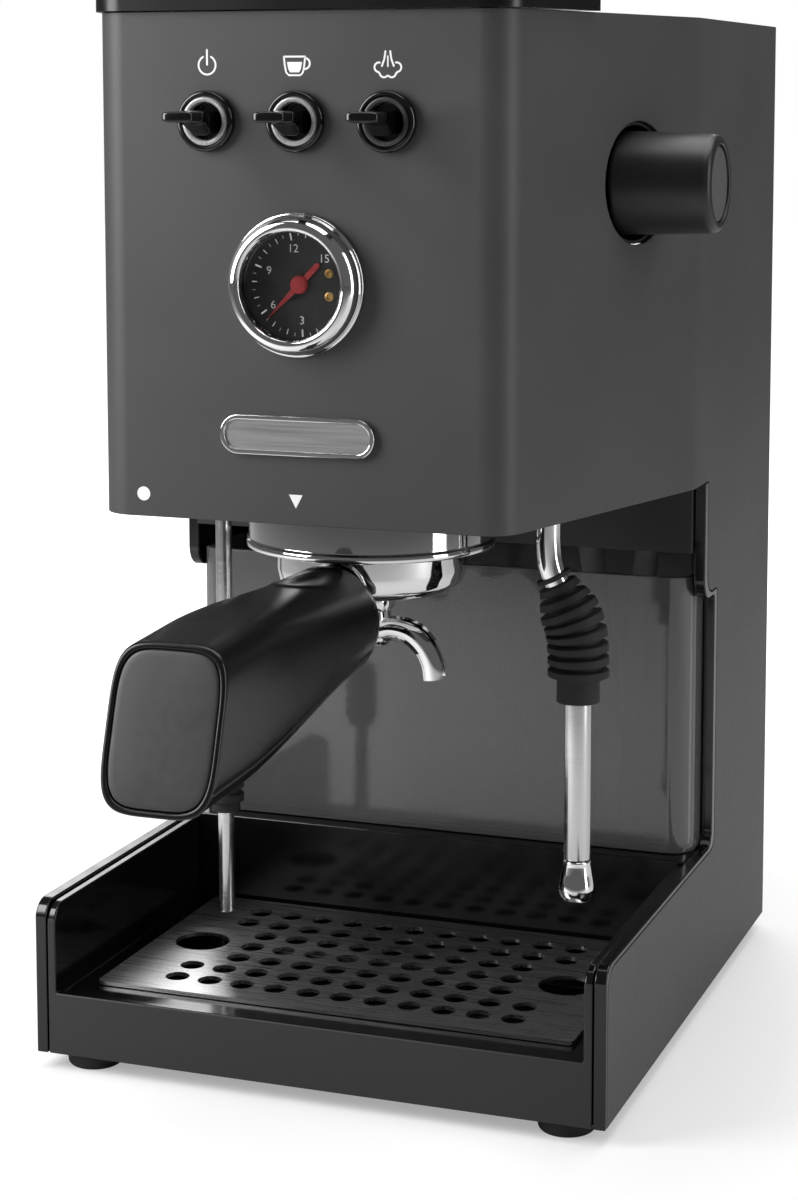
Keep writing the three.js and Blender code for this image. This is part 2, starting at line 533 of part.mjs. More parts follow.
add('group_gasket', turned('z', [
  [screenRadius + 0.7, FILTER_TOP + 1.6], [EAR_RADIUS - 0.6, FILTER_TOP + 1.6], [EAR_RADIUS - 0.6, gasketTop],
  [screenRadius + 0.7, gasketTop]], 0, GROUP_Y), rubber);
add('shower_screen', bar('z', screenRadius, screenTop - 1.8, screenTop, 0, GROUP_Y, 36), steel);

// ---- Portafilter ----------------------------------------------------------------------------------
const cupFloor = FILTER_TOP - BASKET_DEPTH - 1.4;
const ears = [0, 180].map((angle) =>
  cut(sector(EAR_RADIUS, angle - 24, EAR_ANGLE / 2, LEDGE_TOP + GAP, FILTER_TOP - 1.5),
  bar('z', FILTER_RADIUS - 1, 150, 210, 0, GROUP_Y, 40)));
const neck = bar('y', 7.6, HANDLE_START + GAP, GROUP_Y - FILTER_RADIUS + 2, 0, NECK_Z, 20, 9.5);
const STUD = 4;
const STUD_LENGTH = 34;
add('portafilter_body', cut(
  join(turned('z', [[0, FILTER_BOTTOM], [FILTER_RADIUS - 5, FILTER_BOTTOM],
    [FILTER_RADIUS - 1.4, FILTER_BOTTOM + 1.4],
    [FILTER_RADIUS, FILTER_BOTTOM + 5], [FILTER_RADIUS, FILTER_TOP], [0, FILTER_TOP]], 0, GROUP_Y, 32),
  neck, bar('y', STUD, HANDLE_START - STUD_LENGTH, HANDLE_START + 2, 0, NECK_Z, 10), ...ears),
  bar('z', BASKET_RADIUS + 0.6, cupFloor - GAP, 210, 0, GROUP_Y, 32),
  bar('z', 4, 150, 190, 0, GROUP_Y, 16)), chrome);

add('filter_basket', turned('z', [
  [0, FILTER_TOP - BASKET_DEPTH], [BASKET_RADIUS - 4, FILTER_TOP - BASKET_DEPTH],
    [BASKET_RADIUS, FILTER_TOP - BASKET_DEPTH + 6],
  [BASKET_RADIUS, FILTER_TOP + GAP], [FILTER_RADIUS - 0.6, FILTER_TOP + GAP],
    [FILTER_RADIUS - 0.6, FILTER_TOP + 1.3],
  [BASKET_RADIUS - 0.8, FILTER_TOP + 1.3], [BASKET_RADIUS - 0.8, FILTER_TOP - BASKET_DEPTH + 6],
  [BASKET_RADIUS - 4.6, FILTER_TOP - BASKET_DEPTH + 0.8], [0, FILTER_TOP - BASKET_DEPTH + 0.8]], 0,
    GROUP_Y), steel);

// Twin spout: a threaded hub, a hexagon and two horns that curve out and down.
const HORN_X = 24;
const HORN_BOTTOM = 136;
const horn = (side, radius, drop) =>
  bent([[0, GROUP_Y, 151], [side * 7, GROUP_Y, 152.5], [side * 15, GROUP_Y, 151],
  [side * 21.4, GROUP_Y, 144.5], [side * HORN_X, GROUP_Y, HORN_BOTTOM - drop]], radius, 6, 8);
add('portafilter_spout', cut(
  join(bar('z', 7.4, 152, FILTER_BOTTOM - GAP, 0, GROUP_Y, 6), bar('z', 6.4, 146.5, 153, 0, GROUP_Y, 16),
    horn(1, 5.1, 0), horn(-1, 5.1, 0)),
  horn(1, 3.4, 2), horn(-1, 3.4, 2), bar('z', 3, 150, FILTER_BOTTOM + 2, 0, GROUP_Y, 12)), chrome);

// Handle: a loft from a round root to an upright rounded rectangle whose end face leans back.
const HANDLE_SIDES = 24;
function handleRing(share, inset = 0, reach = 0) {
  const ease = THREE.MathUtils.smoothstep(share, 0, 0.8);
  const halfWidth = THREE.MathUtils.lerp(HANDLE_ROOT_RADIUS, HANDLE_END_HALF_WIDTH, ease) - inset;
  const halfHeight = THREE.MathUtils.lerp(HANDLE_ROOT_RADIUS, HANDLE_END_HALF_HEIGHT, ease) - inset;
  const power = THREE.MathUtils.lerp(1, 0.56, ease);
  const tilt = Math.tan(THREE.MathUtils.degToRad(HANDLE_END_TILT)) * share;
  const y = HANDLE_START - HANDLE_LENGTH * share - reach;
  const z = THREE.MathUtils.lerp(HANDLE_ROOT_Z, HANDLE_END_Z, share);
  return Array.from({ length: HANDLE_SIDES }, (_, i) => {
    const angle = (2 * Math.PI * i) / HANDLE_SIDES;
    const round = (value) => Math.sign(value) * Math.abs(value) ** power;
    const rise = halfHeight * round(Math.sin(angle));
    return new THREE.Vector3(halfWidth * round(Math.cos(angle)), y + tilt * rise, z + rise);
  });
}
const RECESS = 1.6;
const CAP_INSET = 1.9;
add('portafilter_handle', cut(
  lofted([handleRing(0, 3), ...[0.02, 0.2, 0.4, 0.6, 0.8, 0.985].map((share) => handleRing(share)),
    handleRing(1, 1.2)]),
  lofted([handleRing(1, CAP_INSET, -RECESS), handleRing(1, CAP_INSET, 5)]),
  bar('y', STUD + GAP, HANDLE_START - STUD_LENGTH - 1, HANDLE_START + 5, 0, NECK_Z, 12)), satinBlack);
add('handle_cap', lofted([handleRing(1, CAP_INSET + GAP, -RECESS + GAP),
  handleRing(1, CAP_INSET + GAP, -0.2)]), paint);

// ---- Switches -------------------------------------------------------------------------------------
const RIM_STAND = 3.2;
const PIVOT_Y = HEAD_FRONT + 1;
function paddle(x) {
  const side = outline([[HEAD_FRONT - PADDLE_REACH, SWITCH_Z + 0.4, 1.2], [PIVOT_Y, SWITCH_Z - 4.2],
    [PIVOT_Y, SWITCH_Z + 3.4],
    [HEAD_FRONT - PADDLE_REACH, SWITCH_Z + 3.2, 1.2]], 3);
  const top = outline([[x - 2.9, PIVOT_Y + 1], [x - 2.9, HEAD_FRONT - 8], [x - 5, HEAD_FRONT - 15],
    [x - 4.6, HEAD_FRONT - PADDLE_REACH, 2.5],
    [x + 4.6, HEAD_FRONT - PADDLE_REACH, 2.5], [x + 5, HEAD_FRONT - 15], [x + 2.9, HEAD_FRONT - 8],
      [x + 2.9, PIVOT_Y + 1]], 3);
  return join(across(side, x - 6, x + 6).intersect(raised(top, SWITCH_Z - 8, SWITCH_Z + 8)),
    ball(4.3, x, PIVOT_Y, SWITCH_Z, 12));
}
['power', 'brew', 'steam'].forEach((name, i) => {
  const front = HEAD_FRONT - RIM_STAND;
  add(`${name}_switch`,
    turned('y', [[0, HEAD_FRONT + 24], [0, PIVOT_Y + 5], [SWITCH_MOUTH, PIVOT_Y + 5],
    [SWITCH_MOUTH, front], [SWITCH_RIM - 1, front],
    [SWITCH_RIM, front + 1.4], [SWITCH_RIM, HEAD_FRONT - GAP], [SWITCH_BARREL, HEAD_FRONT - GAP],
      [SWITCH_BARREL, HEAD_FRONT + 24]], switchXs[i], SWITCH_Z, 24), glossBlack);
  add(`${name}_paddle`, paddle(switchXs[i]), glossBlack);
});

// ---- Gauge ------------------------------------------------------------------------------------------
const gaugeFace = HEAD_FRONT - GAP;
const bezelFront = HEAD_FRONT - GAUGE_STAND;
add('gauge_bezel', turned('y', [
  [GAUGE_GLASS - 0.9, bezelFront + 0.4], [GAUGE_GLASS + 0.4, bezelFront],
    [GAUGE_RADIUS - 3, bezelFront + 1.4], [GAUGE_RADIUS - 0.8, bezelFront + 4.4],
  [GAUGE_RADIUS, gaugeFace], [GAUGE_GLASS + 0.9, gaugeFace], [GAUGE_GLASS + 0.9, gaugeFace - 4.2],
    [GAUGE_GLASS - 0.9, gaugeFace - 4.2]], 0, GAUGE_Z, 32), chrome);
add('gauge_lens', bar('y', GAUGE_GLASS + 0.6, gaugeFace - 3.9, gaugeFace - 2.6, 0, GAUGE_Z, 32), glass);
const dialBack = HEAD_FRONT + 4.2;
add('gauge_can', turned('y',
  [[0, dialBack], [GAUGE_GLASS + 1.4, dialBack], [GAUGE_GLASS + 1.4, HEAD_FRONT + 0.2],
  [GAUGE_CAN_RADIUS, HEAD_FRONT + 0.2],
  [GAUGE_CAN_RADIUS, HEAD_FRONT + 18], [0, HEAD_FRONT + 18]], 0, GAUGE_Z, 32), satinBlack);
add('gauge_dial', bar('y', GAUGE_GLASS + 0.9, dialBack - GAP - 1, dialBack - GAP, 0, GAUGE_Z, 32),
  satinBlack);
const needleBack = dialBack - GAP - 1 - 0.6;
const needleShape = new THREE.Shape([[-9.6, -1], [0, -1.1], [15.8, -0.35], [15.8, 0.35], [0, 1.1],
  [-9.6, 1]].map(([length, width]) =>
  new THREE.Vector2(length, width).rotateAround(new THREE.Vector2(),
    THREE.MathUtils.degToRad(NEEDLE_REST)).add(new THREE.Vector2(0, GAUGE_Z))));
add('gauge_needle', join(along(needleShape, needleBack - 0.8, needleBack),
  bar('y', 3, needleBack - 1.6, needleBack, 0, GAUGE_Z, 16)), red);
add('gauge_tube', bent([[3, HEAD_FRONT + 20, GAUGE_Z - 4], [14, HEAD_FRONT + 20, GAUGE_Z - 6],
  [32, HEAD_FRONT + 28, GAUGE_Z - 16],
  [45, HEAD_FRONT + 46, GAUGE_Z - 40], [46, GROUP_Y, BOILER_SPLIT + 4], [42, GROUP_Y, BOILER_SPLIT - 14],
    [30.5, GROUP_Y, BOILER_SPLIT - 14]], 1.5, 16, 6), brass);

// ---- Badge ------------------------------------------------------------------------------------------
add('front_badge', along(rounded(-27, 27, 222, 235, 6.4, 6), HEAD_FRONT - GAP - 1.8, HEAD_FRONT - GAP),
  chrome);

// ---- Steam valve, knob and wand ---------------------------------------------------------------------
const STEM = 3.6;                                // radius
const stemEnd = KNOB_END - 14.5;
const feed = bent([[WAND_X, KNOB_Y, KNOB_Z - 4], [WAND_X, KNOB_Y, KNOB_Z - 30], [WAND_X, WAND_Y + 8, 246],
  [WAND_X, WAND_Y, 228], [WAND_X, WAND_Y, 214.6]], 3.2, 10, 8);
add('steam_valve', join(bar('x', 11, VALVE_X[0], VALVE_X[1], KNOB_Y, KNOB_Z, 6),
  bar('x', STEM, VALVE_X[1] - 2, stemEnd, KNOB_Y, KNOB_Z, 12), feed,
  bent([[VALVE_X[0] + 4, KNOB_Y, KNOB_Z], [VALVE_X[0] - 8, KNOB_Y, KNOB_Z],
    [VALVE_X[0] - 26, GROUP_Y + 8, KNOB_Z + 15],
    [9, GROUP_Y, BOILER_TOP + 10], [9, GROUP_Y, BOILER_TOP + GAP]], 2.6, 12, 6)), brass);
add('steam_knob', turned('x',
  [[0, stemEnd + 2 * GAP], [STEM + GAP, stemEnd + 2 * GAP], [STEM + GAP, VALVE_X[1] + 4],
  [KNOB_RADIUS - 1, VALVE_X[1] + 4], [KNOB_RADIUS, VALVE_X[1] + 5],
  [KNOB_TIP_RADIUS, KNOB_END - 2], [KNOB_TIP_RADIUS - 1.6, KNOB_END], [KNOB_TIP_RADIUS - 3.4, KNOB_END],
    [KNOB_TIP_RADIUS - 3.8, KNOB_END - 1.4], [0, KNOB_END - 1.4]],
  KNOB_Y, KNOB_Z, 28), satinBlack);

const nutTop = 213.8;
const SOCKET = WAND_BALL + GAP;
add('wand_nut', cut(bar('z', 9.6, WAND_BALL_Z - 1.6, nutTop, WAND_X, WAND_Y, 24),
  ball(SOCKET + 0.2, WAND_X, WAND_Y, WAND_BALL_Z, 16),
  bar('z', 2, WAND_BALL_Z, nutTop + 3, WAND_X, WAND_Y, 12)), chrome);
add('wand_ball', ball(WAND_BALL, WAND_X, WAND_Y, WAND_BALL_Z, 16), chrome);

const GRIP_NECK = 141;                           // the tube ends here, inside the grip
const wandRoute = [[WAND_X, WAND_Y, WAND_BALL_Z - 3], [WAND_X, WAND_Y, WAND_BALL_Z - 17],
  [WAND_X + 1.2, WAND_Y + 0.4, WAND_GRIP_TOP], [WAND_X + 5.2, WAND_Y + 1.6, WAND_GRIP_TOP - 10],
  [WAND_DROP_X - 1, WAND_DROP_Y - 0.4, WAND_GRIP_TOP - 20], [WAND_DROP_X, WAND_DROP_Y, WAND_GRIP_TOP - 30],
  [WAND_DROP_X, WAND_DROP_Y, GRIP_NECK + GAP]];
const wandCore = (radius) => bent(wandRoute, radius, 14, 10);
add('wand_tube', cut(wandCore(WAND_TUBE), ball(SOCKET, WAND_X, WAND_Y, WAND_BALL_Z, 16)), chrome);
// The grip is a rubber sleeve over the bend: discs strung along the tube.
const gripCurve = new THREE.CatmullRomCurve3(wandRoute.slice(2, 6).map((point) =>
  new THREE.Vector3(...point)));
function gripRing(share, radius) {
  const [centre, direction] = [gripCurve.getPoint(share), gripCurve.getTangent(share)];
  const turn = new THREE.Quaternion().setFromUnitVectors(new THREE.Vector3(0, 0, -1), direction);
  return Array.from({ length: 16 }, (_, i) => {
    const angle = -(2 * Math.PI * i) / 16;
    return new THREE.Vector3(radius * Math.cos(angle), radius * Math.sin(angle),
      0).applyQuaternion(turn).add(centre);
  });
}
const GRIP_RADIUS = 10.6;
const gripShares = [[0.12, 6.4], [0.2, 8], [0.36, 9.8], [0.6, GRIP_RADIUS], [0.8, GRIP_RADIUS],
  [0.98, GRIP_RADIUS - 0.6]];
const gripBands = [[10, 8.6, 149, 137], [7, 7, 139, WAND_GRIP_BOTTOM]];
add('wand_grip', cut(
  join(lofted(gripShares.map(([share, radius]) => gripRing(share, radius))),
    ...gripBands.map(([upper, lower, top, bottom]) =>
    bar('z', lower, bottom, top, WAND_DROP_X, WAND_DROP_Y, 16, upper))),
  wandCore(WAND_TUBE + GAP),
  bar('z', WAND_SLEEVE + GAP, WAND_GRIP_BOTTOM - BEYOND, GRIP_NECK + GAP, WAND_DROP_X, WAND_DROP_Y, 20)),
    rubber);
add('wand_sleeve', cut(bar('z', WAND_SLEEVE, WAND_TIP_TOP + GAP, GRIP_NECK, WAND_DROP_X, WAND_DROP_Y, 24),
  bar('z', WAND_SLEEVE - 1.4, WAND_TIP_TOP - BEYOND, GRIP_NECK + BEYOND, WAND_DROP_X, WAND_DROP_Y, 12)),
    steel);
add('wand_tip', cut(turned('z',
  [[2, WAND_TIP_TOP], [2, WAND_TIP_BOTTOM], [4, WAND_TIP_BOTTOM], [6, WAND_TIP_BOTTOM + 2.4],
  [6.2, WAND_TIP_BOTTOM + 4.4],
  [WAND_SLEEVE, WAND_TIP_TOP]], WAND_DROP_X, WAND_DROP_Y, 24)), chrome);

// ---- Drain line -------------------------------------------------------------------------------------
const couplingMiddle = (DRAIN_COUPLING_TOP + DRAIN_COUPLING_BOTTOM) / 2;
const SOLENOID_BOTTOM = 216;
add('drain_pipe', bar('z', DRAIN_PIPE, couplingMiddle + GAP, SOLENOID_BOTTOM - GAP, DRAIN_X, DRAIN_Y, 16),
  chrome);
const ribs = [0.14, 0.38, 0.62, 0.86].map((share) => {
  const z = THREE.MathUtils.lerp(DRAIN_COUPLING_BOTTOM, DRAIN_COUPLING_TOP, share);
  return [[DRAIN_COUPLING - 1.6, z - 2.4], [DRAIN_COUPLING, z - 1.6], [DRAIN_COUPLING, z + 1.6],
    [DRAIN_COUPLING - 1.6, z + 2.4]];
}).flat();
add('drain_coupling',
  turned('z', [[DRAIN_PIPE + GAP, DRAIN_COUPLING_BOTTOM], [DRAIN_COUPLING - 1.6, DRAIN_COUPLING_BOTTOM],
  ...ribs,
  [DRAIN_COUPLING - 1.6, DRAIN_COUPLING_TOP], [DRAIN_PIPE + GAP, DRAIN_COUPLING_TOP]], DRAIN_X, DRAIN_Y,
    12), rubber);
add('drain_spout', cut(bar('z', DRAIN_PIPE, DRAIN_BOTTOM, couplingMiddle, DRAIN_X, DRAIN_Y, 16),
  bar('z', DRAIN_PIPE - 0.9, DRAIN_BOTTOM - 5, couplingMiddle + 5, DRAIN_X, DRAIN_Y, 12)), chrome);
add('solenoid_valve',
  join(block(DRAIN_X - 9, DRAIN_X + 9, DRAIN_Y - 8, DRAIN_Y + 10, SOLENOID_BOTTOM, 234),
  bar('z', 10.5, 233, 262, DRAIN_X, DRAIN_Y + 1, 24),
  bar('x', 3, DRAIN_X + 8, -30.4 , GROUP_Y, 222, 12)), brass);

// ---- Pump and board ---------------------------------------------------------------------------------
const PUMP_Y = (BAY_FRONT + SHELF + INSIDE_REAR) / 2;
add('pump', join(block(-24, 24, PUMP_Y - 19, PUMP_Y + 19, 190, 236), bar('x', 13, 23, 52, PUMP_Y, 213, 20),
  bar('x', 7, -50, -23, PUMP_Y, 213, 16), bar('z', 4, 178.5, 204, 40, PUMP_Y, 12)), satinBlack);
add('control_board', block(-70, 40, INSIDE_REAR - 8, INSIDE_REAR - 5.6, 262, 340), board);

// ---- Top --------------------------------------------------------------------------------------------
const RIM_TOP = BODY_TOP - 1.6;
const PLATE_FRONT = LID_REAR + GAP;
const FRONT_RIM = 6.6;                           // width of the land that carries the hinge
const PAN_DEPTH = 8;
const topPan = cut(
  raised(plan(INNER, INSIDE_REAR, PLATE_FRONT), RIM_TOP - PAN_DEPTH, RIM_TOP),
  raised(plan(INNER + 1.5, INSIDE_REAR - 1.5, PLATE_FRONT + FRONT_RIM), RIM_TOP - PAN_DEPTH + 1.5,
    RIM_TOP + 5));
const HINGE_LUG_X = 46;
const HINGE_LUG_RADIUS = HINGE_Y - LID_REAR - 0.4;   // the lid's rear edge swings round the lug
const hingeLugs = [-1, 1].map((side) => join(
  bar('x', HINGE_LUG_RADIUS, side * HINGE_LUG_X - 2, side * HINGE_LUG_X + 2, HINGE_Y, HINGE_Z, 16),
  block(side * HINGE_LUG_X - 2, side * HINGE_LUG_X + 2, HINGE_Y - HINGE_LUG_RADIUS + 0.1,
    HINGE_Y + HINGE_LUG_RADIUS - 0.1, RIM_TOP - 1, HINGE_Z)));
const pinBore = bar('x', HINGE_PIN + GAP, -60, 60, HINGE_Y, HINGE_Z, 12);
add('cup_tray', cut(join(topPan, ...hingeLugs), pinBore), steel);
add('lid_hinge_pin', bar('x', HINGE_PIN, -HINGE_LUG_X - 3, HINGE_LUG_X + 3, HINGE_Y, HINGE_Z, 12), steel);
const KNUCKLE_X = 38;
const knuckles = [-1, 1].map((side) =>
  join(bar('x', 2.5, side * KNUCKLE_X - 4, side * KNUCKLE_X + 4, HINGE_Y, HINGE_Z, 16),
  block(side * KNUCKLE_X - 4, side * KNUCKLE_X + 4, LID_REAR - 1, HINGE_Y, HINGE_Z - 1, HINGE_Z + 2.4)));
add('filler_lid', cut(join(raised(plan(-LID_OVERHANG, LID_REAR), LID_BOTTOM, LID_TOP), ...knuckles),
  pinBore), satinBlack);

// The filler is a shallow bowl under the lid, with a chute that runs back and down to the tank.
const BOWL_BOTTOM = RIM_TOP - 21.7;
const BOWL_REAR = LID_REAR - 0.5;
const WALL = 2;
const chute = (inset, x0, x1, top, bottom) => across(outline([
  [BOWL_REAR - 24 + inset, BOWL_BOTTOM + top], [BOWL_REAR - 24 + inset, BOWL_BOTTOM],
    [DUCT_END[0] + inset, BAY_ROOF_Z + 34], [DUCT_END[0] + inset, bottom],
  [DUCT_END[1] - inset, bottom], [DUCT_END[1] - inset, BAY_ROOF_Z + 40],
    [BOWL_REAR - inset, BOWL_BOTTOM + top]]), x0, x1);
add('filler_funnel', cut(
  join(raised(plan(INNER, BOWL_REAR), BOWL_BOTTOM, RIM_TOP), chute(0, ...DUCT_X, 6, TANK_TOP + 4)),
  raised(plan(INNER + WALL, BOWL_REAR - WALL), BOWL_BOTTOM + WALL, RIM_TOP + 5),
  chute(WALL, DUCT_X[0] + WALL, DUCT_X[1] - WALL, 6, TANK_TOP)), satinBlack);

// ---- Place the origin at the middle of the bottom of the box ---------------------------------------
const bounds = new THREE.Box3().setFromObject(machine);
const middle = bounds.getCenter(new THREE.Vector3());
machine.position.set(-middle.x, -middle.y, -bounds.min.z);
const part = new THREE.Group();
part.add(machine);

export default part;
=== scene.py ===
import json
import math
from functools import partial

import bmesh
import bpy
from mathutils import Matrix, Vector

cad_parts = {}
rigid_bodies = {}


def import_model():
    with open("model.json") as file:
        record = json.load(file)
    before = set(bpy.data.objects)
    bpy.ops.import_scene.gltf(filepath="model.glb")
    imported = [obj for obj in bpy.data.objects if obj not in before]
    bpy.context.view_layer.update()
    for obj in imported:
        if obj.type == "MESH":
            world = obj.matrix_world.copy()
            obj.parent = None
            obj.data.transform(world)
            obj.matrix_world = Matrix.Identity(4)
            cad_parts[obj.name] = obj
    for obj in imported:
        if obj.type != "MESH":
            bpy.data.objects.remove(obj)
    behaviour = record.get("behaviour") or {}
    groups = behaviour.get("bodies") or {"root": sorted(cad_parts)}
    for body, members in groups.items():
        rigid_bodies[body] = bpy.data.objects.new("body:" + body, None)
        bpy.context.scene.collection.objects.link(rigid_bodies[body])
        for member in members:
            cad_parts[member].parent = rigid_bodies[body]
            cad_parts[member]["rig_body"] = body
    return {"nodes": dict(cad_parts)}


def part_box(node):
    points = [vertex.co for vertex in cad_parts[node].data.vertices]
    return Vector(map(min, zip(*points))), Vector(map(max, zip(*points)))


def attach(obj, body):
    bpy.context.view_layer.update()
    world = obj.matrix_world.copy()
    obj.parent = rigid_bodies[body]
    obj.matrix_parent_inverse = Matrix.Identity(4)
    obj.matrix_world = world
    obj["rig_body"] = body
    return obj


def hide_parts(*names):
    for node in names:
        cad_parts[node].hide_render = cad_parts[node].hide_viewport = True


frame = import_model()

scene = bpy.context.scene
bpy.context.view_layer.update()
MM = 0.001
FORWARD = Vector((0, -1, 0))
UPWARD = Vector((0, 0, 1))


# ---- Node trees ---------------------------------------------------------------------------------
def add_node(tree, kind, inputs=None, **settings):
    """Adds a node, sets its properties, and gives each named input a value or a socket's link."""
    node = tree.nodes.new(kind)
    for name, value in settings.items():
        setattr(node, name, value)
    for name, value in (inputs or {}).items():
        if isinstance(value, bpy.types.NodeSocket):
            tree.links.new(value, node.inputs[name])
        else:
            node.inputs[name].default_value = value
    return node


def linear(hex_colour, alpha=1.0):
    """An sRGB hex colour as the linear values that a shader takes."""
    parts = [int(hex_colour[i:i + 2], 16) / 255 for i in (1, 3, 5)]
    return [c / 12.92 if c <= 0.04045 else ((c + 0.055) / 1.055) ** 2.4 for c in parts] + [alpha]


# ---- Finishes -----------------------------------------------------------------------------------
def finish(name, colour, roughness, metallic=0.0, **shader_values):
    """A material whose even values sit on the shader's own sockets."""
    made = bpy.data.materials.new(name)
    made.use_nodes = True
    shader = made.node_tree.nodes["Principled BSDF"]
    shader.inputs["Base Color"].default_value = linear(colour)
    shader.inputs["Roughness"].default_value = roughness
    shader.inputs["Metallic"].default_value = metallic
    for key, value in shader_values.items():
        shader.inputs[key.replace("_", " ").title().replace("Ior", "IOR")].default_value = value
    return made


def surface_noise(made, grain_mm, stretch=(1, 1, 1), detail=3.0):
    """Noise whose grains have a real size, longer along an axis where stretch is above 1."""
    tree = made.node_tree
    place = add_node(tree, "ShaderNodeTexCoord").outputs["Object"]
    scale = tuple(1 / (grain_mm * MM * s) for s in stretch)
    mapped = add_node(tree, "ShaderNodeMapping", {"Vector": place, "Scale": scale})
    noise = add_node(tree, "ShaderNodeTexNoise",
                     {"Vector": mapped.outputs["Vector"], "Scale": 1.0, "Detail": detail})
    return noise.outputs["Fac"]


def vary(made, low, high, grain_mm, *how, **more):
    """Lets a noise move the roughness between two values over the surface."""
    spread = add_node(made.node_tree, "ShaderNodeMapRange", {
        "Value": surface_noise(made, grain_mm, *how, **more), "From Min": 0.3, "From Max": 0.7,
        "To Min": low, "To Max": high})
    shader = made.node_tree.nodes["Principled BSDF"]
    made.node_tree.links.new(spread.outputs["Result"], shader.inputs["Roughness"])


def tint(made, first, second, grain_mm):
    """Lets a noise move the colour between two close shades."""
    ramp = add_node(made.node_tree, "ShaderNodeValToRGB", {"Fac": surface_noise(made, grain_mm)})
    ramp.color_ramp.elements[0].position, ramp.color_ramp.elements[1].position = 0.35, 0.65
    ramp.color_ramp.elements[0].color = linear(first)
    ramp.color_ramp.elements[1].color = linear(second)
    shader = made.node_tree.nodes["Principled BSDF"]
    made.node_tree.links.new(ramp.outputs["Color"], shader.inputs["Base Color"])


def relief(made, height_mm, grain_mm, *how, **more):
    """Turns a noise into shallow relief, on top of any relief that is already there."""
    shader = made.node_tree.nodes["Principled BSDF"]
    inputs = {"Height": surface_noise(made, grain_mm, *how, **more), "Distance": height_mm * MM,
              "Strength": 1.0}
    if shader.inputs["Normal"].is_linked:
        inputs["Normal"] = shader.inputs["Normal"].links[0].from_socket
    bump = add_node(made.node_tree, "ShaderNodeBump", inputs)
    made.node_tree.links.new(bump.outputs["Normal"], shader.inputs["Normal"])


# Polyester powder coat on steel: matt, with a fine orange peel about a millimetre across.
powder_coat = finish("powder_coated_steel", "#414141", 0.5, coat_weight=0.0, specular_ior_level=0.45)
tint(powder_coat, "#3f3f3f", "#444444", 60)
vary(powder_coat, 0.44, 0.56, 0.5, detail=1)
relief(powder_coat, 0.012, 1.1)
relief(powder_coat, 0.006, 0.35, detail=1)

# ABS moulded in a spark-eroded tool: a satin skin with a grain of about half a millimetre.
satin_abs = finish("satin_moulded_abs", "#181818", 0.4, ior=1.53)
tint(satin_abs, "#161616", "#1b1b1b", 35)
vary(satin_abs, 0.34, 0.44, 12)
relief(satin_abs, 0.008, 0.5, detail=1)

# The same plastic from a finer tool, as a hand grip is: nearly smooth, with a soft broad gloss.
grip_abs = finish("handle_moulded_abs", "#0b0b0b", 0.27, ior=1.53, specular_ior_level=0.36)
tint(grip_abs, "#0a0a0a", "#0d0d0d", 40)
vary(grip_abs, 0.25, 0.3, 40, detail=0)

# ABS from a polished tool: deep black gloss that waves very slightly over a couple of centimetres.
gloss_abs = finish("gloss_moulded_abs", "#090909", 0.13, ior=1.53)
vary(gloss_abs, 0.1, 0.18, 9)
relief(gloss_abs, 0.05, 24, detail=0)

# The tray's front is moulded matt to match the coated steel beside it.
matt_front = finish("matt_moulded_front", "#242424", 0.55, ior=1.53)
vary(matt_front, 0.5, 0.6, 0.6, detail=1)
relief(matt_front, 0.008, 0.7)

# Grey insets of the handle's end and the knob's end: fine satin plastic, the handle's a shade darker.
grey_inset = finish("grey_satin_inset", "#525252", 0.42, ior=1.5)
dark_inset = finish("dark_satin_inset", "#3c3c3c", 0.46, ior=1.5)
for inset in (grey_inset, dark_inset):
    vary(inset, 0.4, 0.5, 3)
    relief(inset, 0.01, 0.45, detail=1)

# Chromium over bright nickel: a mirror, with faint polishing haze.
chrome = finish("bright_chrome_plate", "#e4e4e4", 0.05, 1.0)
vary(chrome, 0.03, 0.075, 14)
relief(chrome, 0.012, 11, detail=0)

# Rolled stainless sheet, polished: mirror-like, with fine lines left along the sheet.
polished_sheet = finish("polished_stainless_sheet", "#d2d2d2", 0.3, 1.0, anisotropic=0.3)
vary(polished_sheet, 0.24, 0.36, 0.45, (60, 1, 1), 2)
relief(polished_sheet, 0.06, 30, detail=0)

# Stainless tube, ground round and buffed: fine rings across the tube.
ground_tube = finish("ground_stainless_tube", "#cecece", 0.2, 1.0)
vary(ground_tube, 0.15, 0.27, 0.5, (20, 20, 1), 2)

# Brushed stainless pan: lines along its width.
brushed_sheet = finish("brushed_stainless_sheet", "#aaaaaa", 0.4, 1.0, anisotropic=0.5)
vary(brushed_sheet, 0.34, 0.5, 0.5, (80, 1, 1), 2)
relief(brushed_sheet, 0.006, 0.5, (80, 1, 1), 2)

# Moulded EPDM: dead matt black with a dusty grain.
rubber = finish("moulded_black_rubber", "#161616", 0.72, ior=1.5)
tint(rubber, "#131313", "#1a1a1a", 8)
relief(rubber, 0.03, 0.5)

# Styrene-acrylonitrile tinted grey: clear and glossy, nearly black through several walls.
smoked_san = finish("smoked_clear_plastic", "#989898", 0.06, ior=1.57, transmission_weight=0.78)
vary(smoked_san, 0.05, 0.1, 22)
relief(smoked_san, 0.03, 30, detail=0)

# Silicone hose: milky and half clear.
milky_silicone = finish("milky_silicone_hose", "#c9c9c9", 0.34, ior=1.41, transmission_weight=0.35)
vary(milky_silicone, 0.28, 0.42, 5)

# Turned brass with a light brown film from the heat.
brass = finish("turned_brass", "#c19a58", 0.3, 1.0)
tint(brass, "#b58c4d", "#c9a565", 9)
vary(brass, 0.24, 0.42, 0.4, (1, 1, 12), 2)

# Sand-cast aluminium, shot-blasted.
cast_metal = finish("blasted_cast_aluminium", "#a7a9ab", 0.5, 1.0)
vary(cast_metal, 0.42, 0.62, 0.8)
relief(cast_metal, 0.05, 0.9)

